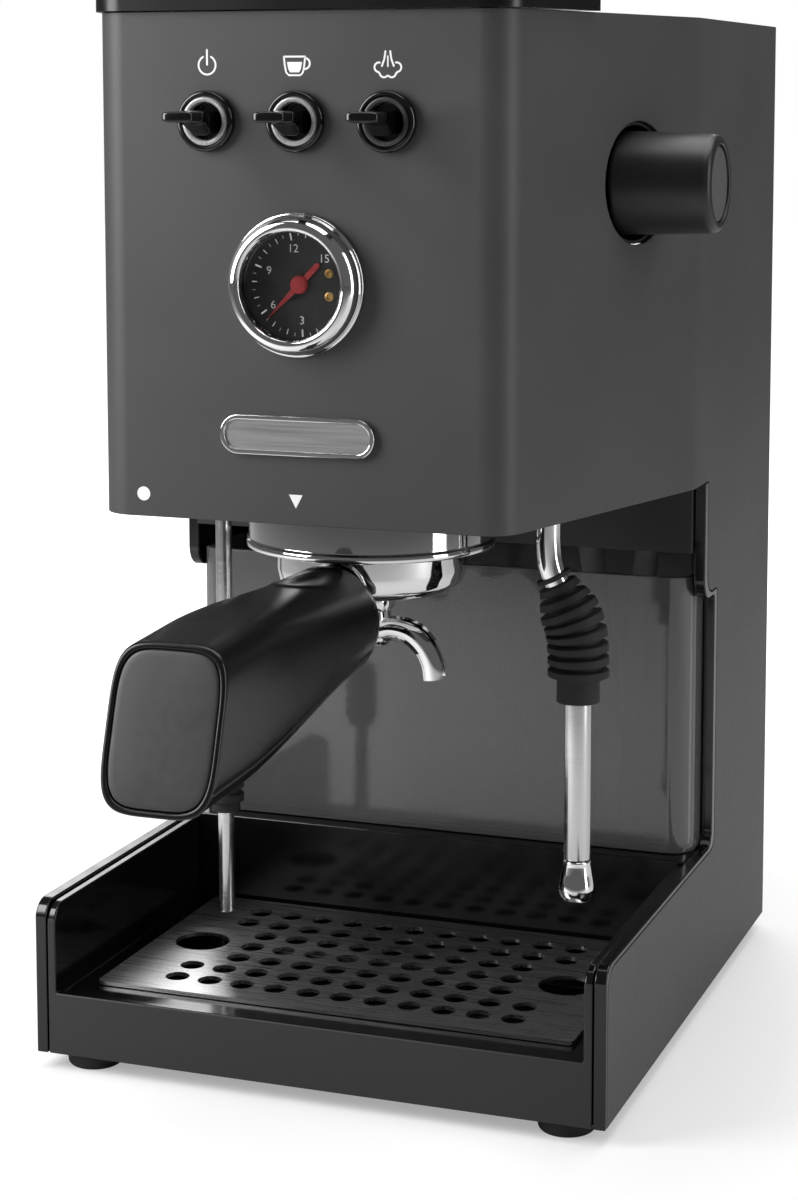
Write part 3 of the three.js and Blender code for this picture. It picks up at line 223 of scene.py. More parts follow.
# Mineral glass of the gauge: clear and hard.
lens_glass = finish("gauge_glass", "#ffffff", 0.0, ior=1.5, transmission_weight=1.0)
vary(lens_glass, 0.0, 0.02, 6)

# Dial enamel, screen-printed ink with a faint painted glow, and the needle's lacquer.
dial_enamel = finish("black_dial_enamel", "#1c1c1c", 0.45)
vary(dial_enamel, 0.4, 0.52, 1.5)
# The ink's weak white emission is a painted glow; the ink is no lamp.
white_ink_painted_glow = finish("white_printed_ink_painted_glow", "#f1f1ef", 0.5, emission_color=linear("#ffffff"),
                   emission_strength=0.12)
vary(white_ink_painted_glow, 0.42, 0.6, 0.4)
needle_lacquer = finish("red_needle_lacquer", "#c02a2f", 0.38)
tint(needle_lacquer, "#b5252b", "#c93036", 3)

# Polycarbonate light rings round the toggles: two have their glow painted in as a pale, half-metallic grey,
# the third is dark.
painted_glow_ring = finish("frosted_ring_painted_glow", "#b6b6b6", 0.3, 0.5)
vary(painted_glow_ring, 0.22, 0.4, 4)
dark_ring = finish("dark_frosted_ring", "#353535", 0.3, ior=1.58)
vary(dark_ring, 0.24, 0.4, 4)

# Glass-fibre board under green lacquer, and tinned contacts.
board_lacquer = finish("green_board_lacquer", "#1d5232", 0.35)
tint(board_lacquer, "#1a4a2d", "#215a37", 4)
tinned = finish("tinned_contacts", "#c8c6bf", 0.3, 1.0)
vary(tinned, 0.24, 0.4, 1)


# ---- Shapes -------------------------------------------------------------------------------------
def new_object(name, data):
    """An object that is in the scene."""
    made = bpy.data.objects.new(name, data)
    scene.collection.objects.link(made)
    return made


def mesh_from(vertices, faces):
    """A merged mesh whose faces all point outwards."""
    mesh = bpy.data.meshes.new("shape")
    mesh.from_pydata([tuple(v) for v in vertices], [], faces)
    shape = bmesh.new()
    shape.from_mesh(mesh)
    bmesh.ops.remove_doubles(shape, verts=shape.verts, dist=1e-6)
    bmesh.ops.dissolve_degenerate(shape, edges=shape.edges, dist=1e-7)
    bmesh.ops.recalc_face_normals(shape, faces=shape.faces)
    shape.to_mesh(mesh)
    shape.free()
    return mesh


def joined(*meshes):
    """Several meshes as one."""
    whole = bmesh.new()
    for mesh in meshes:
        whole.from_mesh(mesh)
    mesh = bpy.data.meshes.new("shape")
    whole.to_mesh(mesh)
    whole.free()
    return mesh


def piece(name, mesh, material, stands_for=(), like=None, sharp=38, shaded=True):
    """A finished piece that rides with the node it stands for, or with the node it is like."""
    node = like or stands_for[0]
    mesh.name = name
    made = new_object(name, mesh)
    if not mesh.materials:
        mesh.materials.append(material)
    if shaded:
        mesh.shade_smooth()
        mesh.set_sharp_from_angle(angle=math.radians(sharp))
    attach(made, frame["nodes"][node]["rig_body"])
    if stands_for:
        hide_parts(*stands_for)
    return made


def evaluated(made):
    """The mesh that an object's modifiers, curve or text give; the object then goes."""
    view = bpy.context.evaluated_depsgraph_get()
    mesh = bpy.data.meshes.new_from_object(made.evaluated_get(view), depsgraph=view)
    bpy.data.objects.remove(made)
    return mesh


def softened(outline, radius, steps=4):
    """Rounds the corners of a closed outline of (radius, height) pairs; those on the axis stay."""
    points = [Vector(p) for p in outline]
    rounded = []
    for i, corner in enumerate(points):
        before, after = points[i - 1] - corner, points[(i + 1) % len(points)] - corner
        reach = min(radius, before.length * 0.45, after.length * 0.45)
        if corner.x <= 0 or reach < 1e-6:
            rounded.append(corner)
            continue
        start, end = corner + before.normalized() * reach, corner + after.normalized() * reach
        for k in range(steps + 1):
            t = k / steps
            rounded.append(start * (1 - t) ** 2 + corner * 2 * t * (1 - t) + end * t ** 2)
    return rounded


def band_faces(rings, n, closed):
    """Quads between rings of n points each, and back to the first ring where they close."""
    return [(i * n + k, i * n + (k + 1) % n, (i + 1) % rings * n + (k + 1) % n, (i + 1) % rings * n + k)
            for i in range(rings if closed else rings - 1) for k in range(n)]


def turned(profile, base, axis=UPWARD, steps=96, rounding=0.3):
    """A closed profile of (radius, height) in millimetres, turned about an axis through base."""
    points = softened(profile, rounding)
    lay = UPWARD.rotation_difference(axis)
    vertices = []
    for i in range(steps):
        c, s = math.cos(2 * math.pi * i / steps), math.sin(2 * math.pi * i / steps)
        vertices += [base + lay @ Vector((p.x * c, p.x * s, p.y)) * MM for p in points]
    return mesh_from(vertices, band_faces(steps, len(points), True))


def skinned(rings):
    """A closed skin over rings that all have the same count of points."""
    n = len(rings[0])
    vertices = [point for ring in rings for point in ring]
    faces = band_faces(len(rings), n, False)
    faces += [tuple(range(n)), tuple(range(len(vertices) - n, len(vertices)))]
    return mesh_from(vertices, faces)


def smooth_path(points, count):
    """Evenly many points on a smooth curve through the given ones."""
    ends = [points[0] * 2 - points[1], *points, points[-1] * 2 - points[-2]]
    path = []
    for i in range(count + 1):
        place = i / count * (len(points) - 1)
        k = min(int(place), len(points) - 2)
        t = place - k
        a, b, c, d = ends[k:k + 4]
        path.append((b * 2 + (c - a) * t + (a * 2 - b * 5 + c * 4 - d) * t ** 2
                     + (b * 3 - a - c * 3 + d) * t ** 3) / 2)
    return path


def swept(path, section, side=Vector((1, 0, 0))):
    """Carries a section along a path; section(share) lists (across, up) pairs in millimetres."""
    rings = []
    for i, point in enumerate(path):
        ahead = (path[min(i + 1, len(path) - 1)] - path[max(i - 1, 0)]).normalized()
        side = (side - ahead * side.dot(ahead)).normalized()
        up = side.cross(ahead)
        rings.append([point + (side * u + up * v) * MM for u, v in section(i / (len(path) - 1))])
    return skinned(rings)


def circle(radius, sides=32):
    return [(radius * math.cos(2 * math.pi * k / sides), radius * math.sin(2 * math.pi * k / sides))
            for k in range(sides)]


def squared(half_width, half_height, power, sides=96):
    """A round-cornered outline; power 1 is an ellipse and less is squarer."""
    bend = lambda value: math.copysign(abs(value) ** power, value)
    return [(half_width * bend(math.cos(2 * math.pi * k / sides)),
             half_height * bend(math.sin(2 * math.pi * k / sides))) for k in range(sides)]


def eased(share, start, end):
    t = min(max((share - start) / (end - start), 0), 1)
    return t * t * (3 - 2 * t)


def refined(name, node, rounding, material, segments=3, angle=32):
    """A sheet or moulded part with its flat faces merged and its edges rounded."""
    source = frame["nodes"][node].data
    mesh = mesh_from([v.co for v in source.vertices], [tuple(p.vertices) for p in source.polygons])
    shape = bmesh.new()
    shape.from_mesh(mesh)
    bmesh.ops.dissolve_limit(shape, angle_limit=math.radians(0.6), verts=shape.verts, edges=shape.edges)
    shape.to_mesh(mesh)
    shape.free()
    mesh.shade_smooth()
    mesh.set_sharp_from_angle(angle=math.radians(angle))
    made = new_object("rough", mesh)
    edge = made.modifiers.new("rounded_edges", "BEVEL")
    edge.width, edge.segments, edge.angle_limit = rounding * MM, segments, math.radians(angle)
    edge.use_clamp_overlap = True
    made.modifiers.new("flat_faces_stay_flat", "WEIGHTED_NORMAL").keep_sharp = True
    return piece(name, evaluated(made), material, (node,), shaded=False)


# ---- Repeated details, made by geometry nodes ---------------------------------------------------
def detail_tree(name, sockets):
    """A new tree of geometry nodes with named inputs, given as (name, socket kind, value)."""
    tree = bpy.data.node_groups.new(name, "GeometryNodeTree")
    tree.interface.new_socket("Geometry", in_out="INPUT", socket_type="NodeSocketGeometry")
    for label, kind, value in sockets:
        socket = tree.interface.new_socket(label, in_out="INPUT", socket_type="NodeSocket" + kind)
        if value is not None:
            socket.default_value = value
    tree.interface.new_socket("Geometry", in_out="OUTPUT", socket_type="NodeSocketGeometry")
    return (tree, partial(add_node, tree), tree.nodes.new("NodeGroupInput").outputs,
            tree.nodes.new("NodeGroupOutput").inputs)


def close_tree(tree, last, material, out):
    """Every tree ends with real geometry and its material."""
    real = add_node(tree, "GeometryNodeRealizeInstances", {"Geometry": last})
    dressed = add_node(tree, "GeometryNodeSetMaterial", {"Geometry": real.outputs[0], "Material": material})
    tree.links.new(dressed.outputs[0], out["Geometry"])


def from_tree(tree, values, base=None):
    """Runs a tree on a mesh or curve and returns the mesh it makes."""
    made = new_object("detail", base or bpy.data.meshes.new("empty"))
    steps = made.modifiers.new("detail", "NODES")
    steps.node_group = tree
    for item in tree.interface.items_tree:
        if item.in_out == "INPUT" and item.name in values:
            steps[item.identifier] = values[item.name]
    mesh = evaluated(made)
    mesh.materials.clear()
    mesh.materials.append(values["Material"])
    mesh.polygons.foreach_set("material_index", [0] * len(mesh.polygons))
    return mesh


def perforated_sheet_tree():
    """A flat sheet with a field of round holes that keeps clear of two finger holes."""
    tree, add, given, out = detail_tree("perforated_sheet", [
        ("Width", "Float", 0.17), ("Depth", "Float", 0.1), ("Corner", "Float", 0.002),
        ("Pitch", "Float", 0.0125), ("Hole Radius", "Float", 0.0043), ("Columns", "Int", 11),
        ("Rows", "Int", 7), ("Finger Offset", "Float", 0.07), ("Finger Radius", "Float", 0.01),
        ("Web", "Float", 0.002), ("Thickness", "Float", 0.0014), ("Material", "Material", None)])
    edge = add("GeometryNodeCurvePrimitiveQuadrilateral", {"Width": given["Width"], "Height": given["Depth"]})
    outline = add("GeometryNodeFilletCurve",
                  {"Curve": edge.outputs[0], "Radius": given["Corner"], "Count": 6}, mode="POLY")
    spans = []
    for count in ("Columns", "Rows"):
        gaps = add("ShaderNodeMath", {0: given[count], 1: 1.0}, operation="SUBTRACT")
        spans.append(add("ShaderNodeMath", {0: given["Pitch"], 1: gaps.outputs[0]}, operation="MULTIPLY"))
    field = add("GeometryNodeMeshGrid", {
        "Size X": spans[0].outputs[0], "Size Y": spans[1].outputs[0],
        "Vertices X": given["Columns"], "Vertices Y": given["Rows"]})
    place = add("GeometryNodeInputPosition").outputs[0]
    folded = add("ShaderNodeVectorMath", {0: place}, operation="ABSOLUTE")
    right = add("ShaderNodeCombineXYZ", {"X": given["Finger Offset"]}).outputs[0]
    left = add("ShaderNodeVectorMath", {0: right, "Scale": -1.0}, operation="SCALE").outputs[0]
    apart = add("ShaderNodeVectorMath", {0: folded.outputs[0], 1: right}, operation="DISTANCE")
    radii = add("ShaderNodeMath", {0: given["Finger Radius"], 1: given["Hole Radius"]}, operation="ADD")
    clear = add("ShaderNodeMath", {0: radii.outputs[0], 1: given["Web"]}, operation="ADD")
    too_near = add("ShaderNodeMath", {0: apart.outputs["Value"], 1: clear.outputs[0]}, operation="LESS_THAN")
    kept = add("GeometryNodeDeleteGeometry",
               {"Geometry": field.outputs["Mesh"], "Selection": too_near.outputs[0]}, domain="POINT")
    hole = add("GeometryNodeCurvePrimitiveCircle", {"Resolution": 28, "Radius": given["Hole Radius"]})
    holes = add("GeometryNodeInstanceOnPoints",
                {"Points": kept.outputs[0], "Instance": hole.outputs["Curve"]})
    finger = add("GeometryNodeCurvePrimitiveCircle", {"Resolution": 48, "Radius": given["Finger Radius"]})
    shapes = [add("GeometryNodeTransform", {"Geometry": finger.outputs["Curve"], "Translation": side})
              for side in (right, left)]
    shapes += [add("GeometryNodeRealizeInstances", {"Geometry": holes.outputs[0]}), outline]
    curves = add("GeometryNodeJoinGeometry")
    for shape in shapes:
        tree.links.new(shape.outputs[0], curves.inputs[0])
    sheet = add("GeometryNodeFillCurve", {"Curve": curves.outputs[0]})
    raised = add("GeometryNodeExtrudeMesh",
                 {"Mesh": sheet.outputs[0], "Offset Scale": given["Thickness"], "Individual": False})
    under = add("GeometryNodeFlipFaces", {"Mesh": sheet.outputs[0]})
    both = add("GeometryNodeJoinGeometry")
    for half in (under, raised):
        tree.links.new(half.outputs[0], both.inputs[0])
    closed = add("GeometryNodeMergeByDistance", {"Geometry": both.outputs[0], "Distance": 1e-6})
    close_tree(tree, closed.outputs[0], given["Material"], out)
    return tree


def ribbed_sleeve_tree():
    """A sleeve along a curve whose radius rises from a neck, carries grooves and falls at its end."""
    tree, add, given, out = detail_tree("ribbed_sleeve", [
        ("Neck", "Float", 0.006), ("Body", "Float", 0.01), ("Tail", "Float", 0.007),
        ("Neck Length", "Float", 0.01), ("Tail Start", "Float", 0.03), ("Rib Pitch", "Float", 0.004),
        ("Groove", "Float", 0.002), ("Material", "Material", None)])
    fine = add("GeometryNodeResampleCurve", {"Curve": given["Geometry"], "Length": 0.00022}, mode="LENGTH")
    reach = add("GeometryNodeSplineParameter").outputs["Length"]
    rise = add("ShaderNodeMapRange", {
        "Value": reach, "From Min": 0.0, "From Max": given["Neck Length"],
        "To Min": given["Neck"], "To Max": given["Body"]}, interpolation_type="SMOOTHSTEP")
    tail_end = add("ShaderNodeMath", {0: given["Tail Start"], 1: 0.0016}, operation="ADD")
    fall = add("ShaderNodeMapRange", {
        "Value": reach, "From Min": given["Tail Start"], "From Max": tail_end.outputs[0],
        "To Min": 1.0, "To Max": 0.0}, interpolation_type="SMOOTHSTEP")
    half_pitch = add("ShaderNodeMath", {0: given["Rib Pitch"], 1: 0.5}, operation="MULTIPLY").outputs[0]
    wave = add("ShaderNodeMath", {0: reach, 1: half_pitch}, operation="PINGPONG")
    share = add("ShaderNodeMath", {0: wave.outputs[0], 1: half_pitch}, operation="DIVIDE")
    groove = add("ShaderNodeMapRange", {
        "Value": share.outputs[0], "From Min": 0.52, "From Max": 0.72, "To Min": 0.0,
        "To Max": given["Groove"]}, interpolation_type="SMOOTHSTEP")
    ribbed = add("ShaderNodeMath", {0: rise.outputs[0], 1: groove.outputs[0]}, operation="SUBTRACT")
    radius = add("ShaderNodeMapRange", {
        "Value": fall.outputs[0], "From Min": 0.0, "From Max": 1.0, "To Min": given["Tail"],
        "To Max": ribbed.outputs[0]})
    round_section = add("GeometryNodeCurvePrimitiveCircle", {"Resolution": 40, "Radius": 1.0})
    sleeve = add("GeometryNodeCurveToMesh", {
        "Curve": fine.outputs[0], "Profile Curve": round_section.outputs["Curve"],
        "Scale": radius.outputs[0], "Fill Caps": True})
    close_tree(tree, sleeve.outputs[0], given["Material"], out)
    return tree


def dial_marks_tree():
    """Equal marks round a dial, as thin raised bars that point to its centre."""
    tree, add, given, out = detail_tree("dial_marks", [
        ("Count", "Int", 17), ("First Angle", "Float", 0.0), ("Step", "Float", 0.1),
        ("Inner", "Float", 0.012), ("Length", "Float", 0.002), ("Width", "Float", 0.0003),
        ("Height", "Float", 0.00006), ("Material", "Material", None)])
    index = add("GeometryNodeInputIndex").outputs[0]
    angle = add("ShaderNodeMath", {0: index, 1: given["Step"], 2: given["First Angle"]},
                operation="MULTIPLY_ADD").outputs[0]
    reach = add("ShaderNodeMath", {0: given["Length"], 1: 0.5, 2: given["Inner"]}, operation="MULTIPLY_ADD")
    outward = add("ShaderNodeCombineXYZ", {"X": reach.outputs[0]})
    place = add("ShaderNodeVectorRotate", {"Vector": outward.outputs[0], "Angle": angle},
                rotation_type="Z_AXIS")
    points = add("GeometryNodePoints", {"Count": given["Count"], "Position": place.outputs[0]})
    size = add("ShaderNodeCombineXYZ", {"X": given["Length"], "Y": given["Width"], "Z": given["Height"]})
    bar = add("GeometryNodeMeshCube", {"Size": size.outputs[0]})
    turn = add("ShaderNodeCombineXYZ", {"Z": angle})
    marks = add("GeometryNodeInstanceOnPoints", {
        "Points": points.outputs[0], "Instance": bar.outputs["Mesh"], "Rotation": turn.outputs[0]})
    close_tree(tree, marks.outputs[0], given["Material"], out)
    return tree


def scattered_tree():
    """One small part set on every point of a mesh."""
    tree, add, given, out = detail_tree("set_on_points", [
        ("Part", "Object", None), ("Turn", "Vector", (0, 0, 0)), ("Material", "Material", None)])
    part = add("GeometryNodeObjectInfo", {"Object": given["Part"]})
    placed = add("GeometryNodeInstanceOnPoints", {
        "Points": given["Geometry"], "Instance": part.outputs["Geometry"], "Rotation": given["Turn"]})
    close_tree(tree, placed.outputs[0], given["Material"], out)
    return tree


SHEET_TREE, SLEEVE_TREE, MARK_TREE, SET_TREE = (
    perforated_sheet_tree(), ribbed_sleeve_tree(), dial_marks_tree(), scattered_tree())


def curve_through(points):
    """A plain curve that a tree can follow."""
    curve = bpy.data.curves.new("path", "CURVE")
    curve.dimensions = "3D"
    spline = curve.splines.new("POLY")
    spline.points.add(len(points) - 1)
    for target, point in zip(spline.points, points):
        target.co = (*point, 1)
    return curve


def stamped(outlines, thickness, edge=0.0):
    """Flat outlines in millimetres, filled and given a thickness upwards with a rounded edge."""
    curve = bpy.data.curves.new("stamp", "CURVE")
    curve.dimensions, curve.fill_mode = "2D", "BOTH"
    curve.extrude, curve.bevel_depth, curve.bevel_resolution = (thickness / 2 - edge) * MM, edge * MM, 2
    curve.offset = -edge * MM
    for outline in outlines:
        spline = curve.splines.new("POLY")
        spline.points.add(len(outline) - 1)
        spline.use_cyclic_u = True
        for target, point in zip(spline.points, outline):
            target.co = (point[0] * MM, point[1] * MM, 0, 1)
    mesh = evaluated(new_object("stamp", curve))
    mesh.materials.clear()
    mesh.transform(Matrix.Translation((0, 0, thickness / 2 * MM)))
    return mesh


def facing_forward(mesh, place):
    """Stands a flat mesh up so that it faces the front, at a place."""
    mesh.transform(Matrix.Translation(place) @ Matrix.Rotation(math.radians(90), 4, "X"))
    return mesh


# ---- Camera, floor and light --------------------------------------------------------------------
def look_from(place, turn, tilt):
    """Where a camera or a light stands and how it is turned; a turn of 0 looks along +Y."""
    return Matrix.Translation(place) @ Matrix.Rotation(math.radians(turn), 4, "Z") \
        @ Matrix.Rotation(math.radians(90 - tilt), 4, "X")


CAMERA_PLACE, CAMERA_TURN, CAMERA_TILT = (0.30636, -0.82301, 0.33751), 19.825, 6.4136   # m, degrees
FOCAL_LENGTH, SENSOR_WIDTH, LENS_SHIFT = 76.365, 36, (-0.0188, -0.18)                   # mm, share of width


def set_camera():
    lens = bpy.data.cameras.new("camera")
    lens.lens, lens.sensor_width, lens.clip_start = FOCAL_LENGTH, SENSOR_WIDTH, 0.05
    lens.shift_x, lens.shift_y = LENS_SHIFT
    camera = new_object("camera", lens)
    camera.matrix_world = look_from(CAMERA_PLACE, CAMERA_TURN, CAMERA_TILT)
    scene.camera = camera


def set_studio():
    """Four softboxes and an even white room; only the camera sees the room at full strength."""
    scene.view_settings.view_transform = "Standard"
    for name, place, aim, width, height, power in (              # metres, watts
            ("key_softbox", (-0.52, -0.42, 0.52), (-0.05, -0.05, 0.28), 0.35, 0.6, 6.2),
            ("overhead_softbox", (0.1, 0.2, 1.4), (0, 0, 0.1), 1.2, 1.2, 14),
            ("side_strip", (1.15, -0.1, 0.5), (0, 0, 0.2), 0.3, 1.2, 6),
            ("rear_softbox", (-0.5, 1.5, 0.9), (0, 0, 0.2), 1.0, 0.8, 8)):
        panel = bpy.data.lights.new(name, "AREA")
        panel.shape, panel.size, panel.size_y, panel.energy = "RECTANGLE", width, height, power
        new_object(name, panel).matrix_world = Matrix.Translation(place) @ (
            Vector(aim) - Vector(place)).to_track_quat("-Z", "Y").to_matrix().to_4x4()
    world = bpy.data.worlds.new("studio")
    scene.world = world
    world.use_nodes = True
    tree = world.node_tree
    tree.nodes.clear()
    seen = add_node(tree, "ShaderNodeBackground", {"Color": (1, 1, 1, 1), "Strength": 1.0})
    around = add_node(tree, "ShaderNodeBackground", {"Color": (1, 1, 1, 1), "Strength": 0.12})
    direct = add_node(tree, "ShaderNodeLightPath").outputs["Is Camera Ray"]
    both = add_node(tree, "ShaderNodeMixShader", {0: direct, 1: around.outputs[0], 2: seen.outputs[0]})
    add_node(tree, "ShaderNodeOutputWorld", {"Surface": both.outputs[0]})
    set_floor()


def set_floor():
    """A pale floor with a painted glow that only the camera sees, weak near the machine and full away from
    it, so that the floor fades into the white room.
    """
    paint = finish("pale_studio_floor", "#d8d8d8", 0.7, specular_ior_level=0.1)
    tree = paint.node_tree
    vary(paint, 0.65, 0.75, 200)
    place = add_node(tree, "ShaderNodeTexCoord").outputs["Object"]
    away = add_node(tree, "ShaderNodeVectorMath", {0: place}, operation="LENGTH").outputs["Value"]
    # The glow is painted light: weak near the machine so that the shade there shows, full further out.
    fade = add_node(tree, "ShaderNodeMapRange", {"Value": away, "From Min": 0.25, "From Max": 0.9,
                                                "To Min": 0.36, "To Max": 1.0})
    direct = add_node(tree, "ShaderNodeLightPath").outputs["Is Camera Ray"]
    glow = add_node(tree, "ShaderNodeMath", {0: fade.outputs[0], 1: direct}, operation="MULTIPLY")
    shader = tree.nodes["Principled BSDF"]
    shader.inputs["Emission Color"].default_value = (1, 1, 1, 1)
    tree.links.new(glow.outputs[0], shader.inputs["Emission Strength"])
    rim = [Vector((6 * math.cos(a), 6 * math.sin(a), 0)) for a in (2 * math.pi * k / 64 for k in range(64))]
    mesh = bpy.data.meshes.new("floor")
    mesh.from_pydata(rim, [], [tuple(range(64))])
    mesh.materials.append(paint)
    new_object("floor", mesh)


# ---- Places on the machine ----------------------------------------------------------------------
def spot(node, x=0.5, y=0.5, z=0.5):
    """A point of a node's box; each share runs from 0 at its low side to 1 at its high side."""
    low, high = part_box(node)
    return Vector([low[i] + (high[i] - low[i]) * share for i, share in enumerate((x, y, z))])


def tall(node, axis=2):
    """A node's size along an axis, in millimetres."""
    low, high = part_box(node)
    return (high[axis] - low[axis]) / MM


CLEARANCE = 0.3                                                  # between pieces that touch, mm
GROUP = spot("shower_screen")
FACE_Y = spot("front_badge", y=1).y + CLEARANCE * MM             # front of the steel head
GAUGE = Vector((spot("gauge_dial").x, FACE_Y, spot("gauge_dial").z))
LAYER = Vector((0, 0.00002, 0))                                  # print sits this deep in the coat


# ---- Steel, plastic and tank --------------------------------------------------------------------
def make_housing():
    for name, node, rounding, material in (                      # rounding in mm
            ("coated_shell", "body_shell", 0.35, powder_coat),
            ("coated_back", "back_panel", 0.3, powder_coat),
            ("filler_cover", "filler_lid", 0.8, grip_abs),
            ("warming_tray", "cup_tray", 0.4, brushed_sheet),
            ("left_cheek", "side_liner_left", 0.55, gloss_abs),
            ("right_cheek", "side_liner_right", 0.55, gloss_abs),
            ("splash_wall", "tank_shelf", 0.5, gloss_abs),
            ("bay_roof", "bay_cover", 0.4, satin_abs),
            ("head_underside", "head_floor", 0.3, satin_abs),
            ("bottom_plate", "base_plate", 0.4, satin_abs),
            ("filler_bowl", "filler_funnel", 0.4, satin_abs),
            ("smoked_tank", "water_tank", 0.9, smoked_san),
            ("inlet_socket", "power_inlet", 0.5, satin_abs)):
        refined(name, node, rounding, material)
    tray = refined("drip_pan", "drip_tray", 0.6, gloss_abs)
    tray.data.materials.append(matt_front)
    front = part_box("drip_tray")[0].y
    for face in tray.data.polygons:
        if face.normal.y < -0.5 and face.center.y < front + 0.6 * MM:
            face.material_index = 1


def dress_inner_parts():
    """Parts inside the housing keep their own shape and get their finish."""
    finishes = {
        "boiler": cast_metal, "group_head": cast_metal, "pump": satin_abs, "gauge_can": satin_abs,
        "control_board": board_lacquer, "steam_valve": brass, "solenoid_valve": brass,
        "gauge_tube": brass, "group_gasket": rubber, "shower_screen": brushed_sheet,
        "filter_basket": brushed_sheet, "lid_hinge_pin": ground_tube}
    for node, material in finishes.items():
        for place in frame["nodes"][node].material_slots:
            place.material = material


# ---- Drip grille --------------------------------------------------------------------------------
def make_grille():
    width, depth, thickness = (tall("drip_grille", axis) * MM for axis in range(3))
    sheet = from_tree(SHEET_TREE, {
        "Width": width, "Depth": depth, "Thickness": thickness, "Material": polished_sheet})
    sheet.transform(Matrix.Translation(spot("drip_grille", z=0)))
    piece("punched_grille", sheet, polished_sheet, ("drip_grille",), sharp=30)


# ---- Group: collar, portafilter, spout ----------------------------------------------------------
def make_collar():
    base = Vector((GROUP.x, GROUP.y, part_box("group_collar")[0].z))
    outside = tall("group_collar", 0) / 2
    rise = tall("group_collar")
    profile = [(outside - inward, z) for inward, z in (
        (10.3, 0.8), (9.5, 0), (1.6, 0), (0.2, 0.5), (0, 1.5), (0.2, 2.7), (0.9, 3.3), (0.9, rise),
        (6.6, rise), (6.6, 4.6), (10.3, 4.6))]
    piece("group_ring", turned(profile, base, rounding=0.6), chrome, ("group_collar",))


def make_portafilter():
    cup = 33.2                                                   # radius
    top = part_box("portafilter_body")[1].z
    base = Vector((GROUP.x, GROUP.y, top - 25.5 * MM))
    bowl = turned([(4, 0.4), (12, 0), (24, 0), (29.5, 0.9), (32.3, 3.4), (cup, 7.6), (cup, 16.2),
                   (cup, 25.5), (30, 25.5), (30, 3.2), (26, 2), (4, 2)], base, rounding=1.2)
    start = spot("portafilter_handle", y=1).y
    neck_base = Vector((GROUP.x, GROUP.y - (cup - 1.5) * MM, top - 21 * MM))
    reach = (neck_base.y - start) / MM
    neck = turned([(0, 0), (10.4, 0), (9.4, 1.6), (8.4, reach - 2.2), (10.6, reach - 2), (10.6, reach - 0.3),
                   (0, reach - 0.3)], neck_base, FORWARD, rounding=0.5)
    ears = []
    for side in (0, 180):
        ring = []
        for z in (-4.7, -1.5):
            arc = [math.radians(side - 24 + a) for a in range(-17, 18, 2)]
            ring.append([Vector((GROUP.x, GROUP.y, top)) + Vector((r * math.cos(a), r * math.sin(a), z)) * MM
                         for r, order in ((cup + 3.4, arc), (cup - 1, arc[::-1])) for a in order])
        ears.append(skinned(ring))
    piece("portafilter_cup", joined(bowl, neck, *ears), chrome, ("portafilter_body",))


def make_spout():
    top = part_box("portafilter_spout")[1].z
    centre = Vector((GROUP.x, GROUP.y, top))
    hexagon = skinned([[centre + Vector((r * math.cos(a), r * math.sin(a), z)) * MM
                        for a in (math.radians(60 * k + 30) for k in range(6))]
                       for r, z in ((7.6, -0.2), (8.3, -0.9), (8.3, -6.6), (7.6, -7.3))])
    hub = turned([(0, -3), (6.4, -3), (6.6, -7), (6.9, -10.5), (6.6, -14), (6.9, -17.2), (6.0, -19.6),
                  (0, -19.8)], centre, rounding=0.8)
    horns = []
    for side in (-1, 1):
        bends = [(3, -14.6), (8.5, -13.2), (15, -14.6), (20.2, -19.2), (23.1, -24.8), (24, -30.2)]
        path = smooth_path([centre + Vector((side * x, 0, z)) * MM for x, z in bends], 40)

        def channel(share):
            """A gutter that is open on its outer side."""
            width, depth, wall = 5.3 - 0.5 * share, 4.7, 1.0
            outer = [(width * math.cos(a), depth * math.sin(a)) for a in
                     (math.radians(v) for v in range(-52, 233, 12))]
            inner = [((width - wall) * math.cos(a), (depth - wall) * math.sin(a)) for a in
                     (math.radians(v) for v in range(224, -47, -12))]
            return [(-u, v) for u, v in outer + inner]

        horns.append(swept(path, channel, Vector((0, side, 0))))
    piece("twin_spout", joined(hexagon, hub, *horns), chrome, ("portafilter_spout",), sharp=45)


# ---- Handle -------------------------------------------------------------------------------------
HANDLE_LENGTH, HANDLE_DROP, HANDLE_TILT = 135.0, 7.4, math.tan(math.radians(18))
HANDLE_ROOT, HANDLE_END = 18.8, (18.6, 24.2)                     # radius; half width and half height
HANDLE_SIDES, HANDLE_END_POWER = 180, 0.46
DISH_PLACE, DISH_HALF_LENGTH, DISH_HALF_WIDTH, DISH_DEPTH, DISH_RIM = 0.19, 19, 9.2, 2.6, 0.5
CAP_SEAT, CAP_DEPTH = 1.9, 1.6
SEAM, SEAM_DEPTH = 167, (0.75, 0.06)     # column of points where the mould parts; there and beside it
handle_root = Vector((GROUP.x, spot("portafilter_handle", y=1).y, spot("handle_cap").z + HANDLE_DROP * MM))


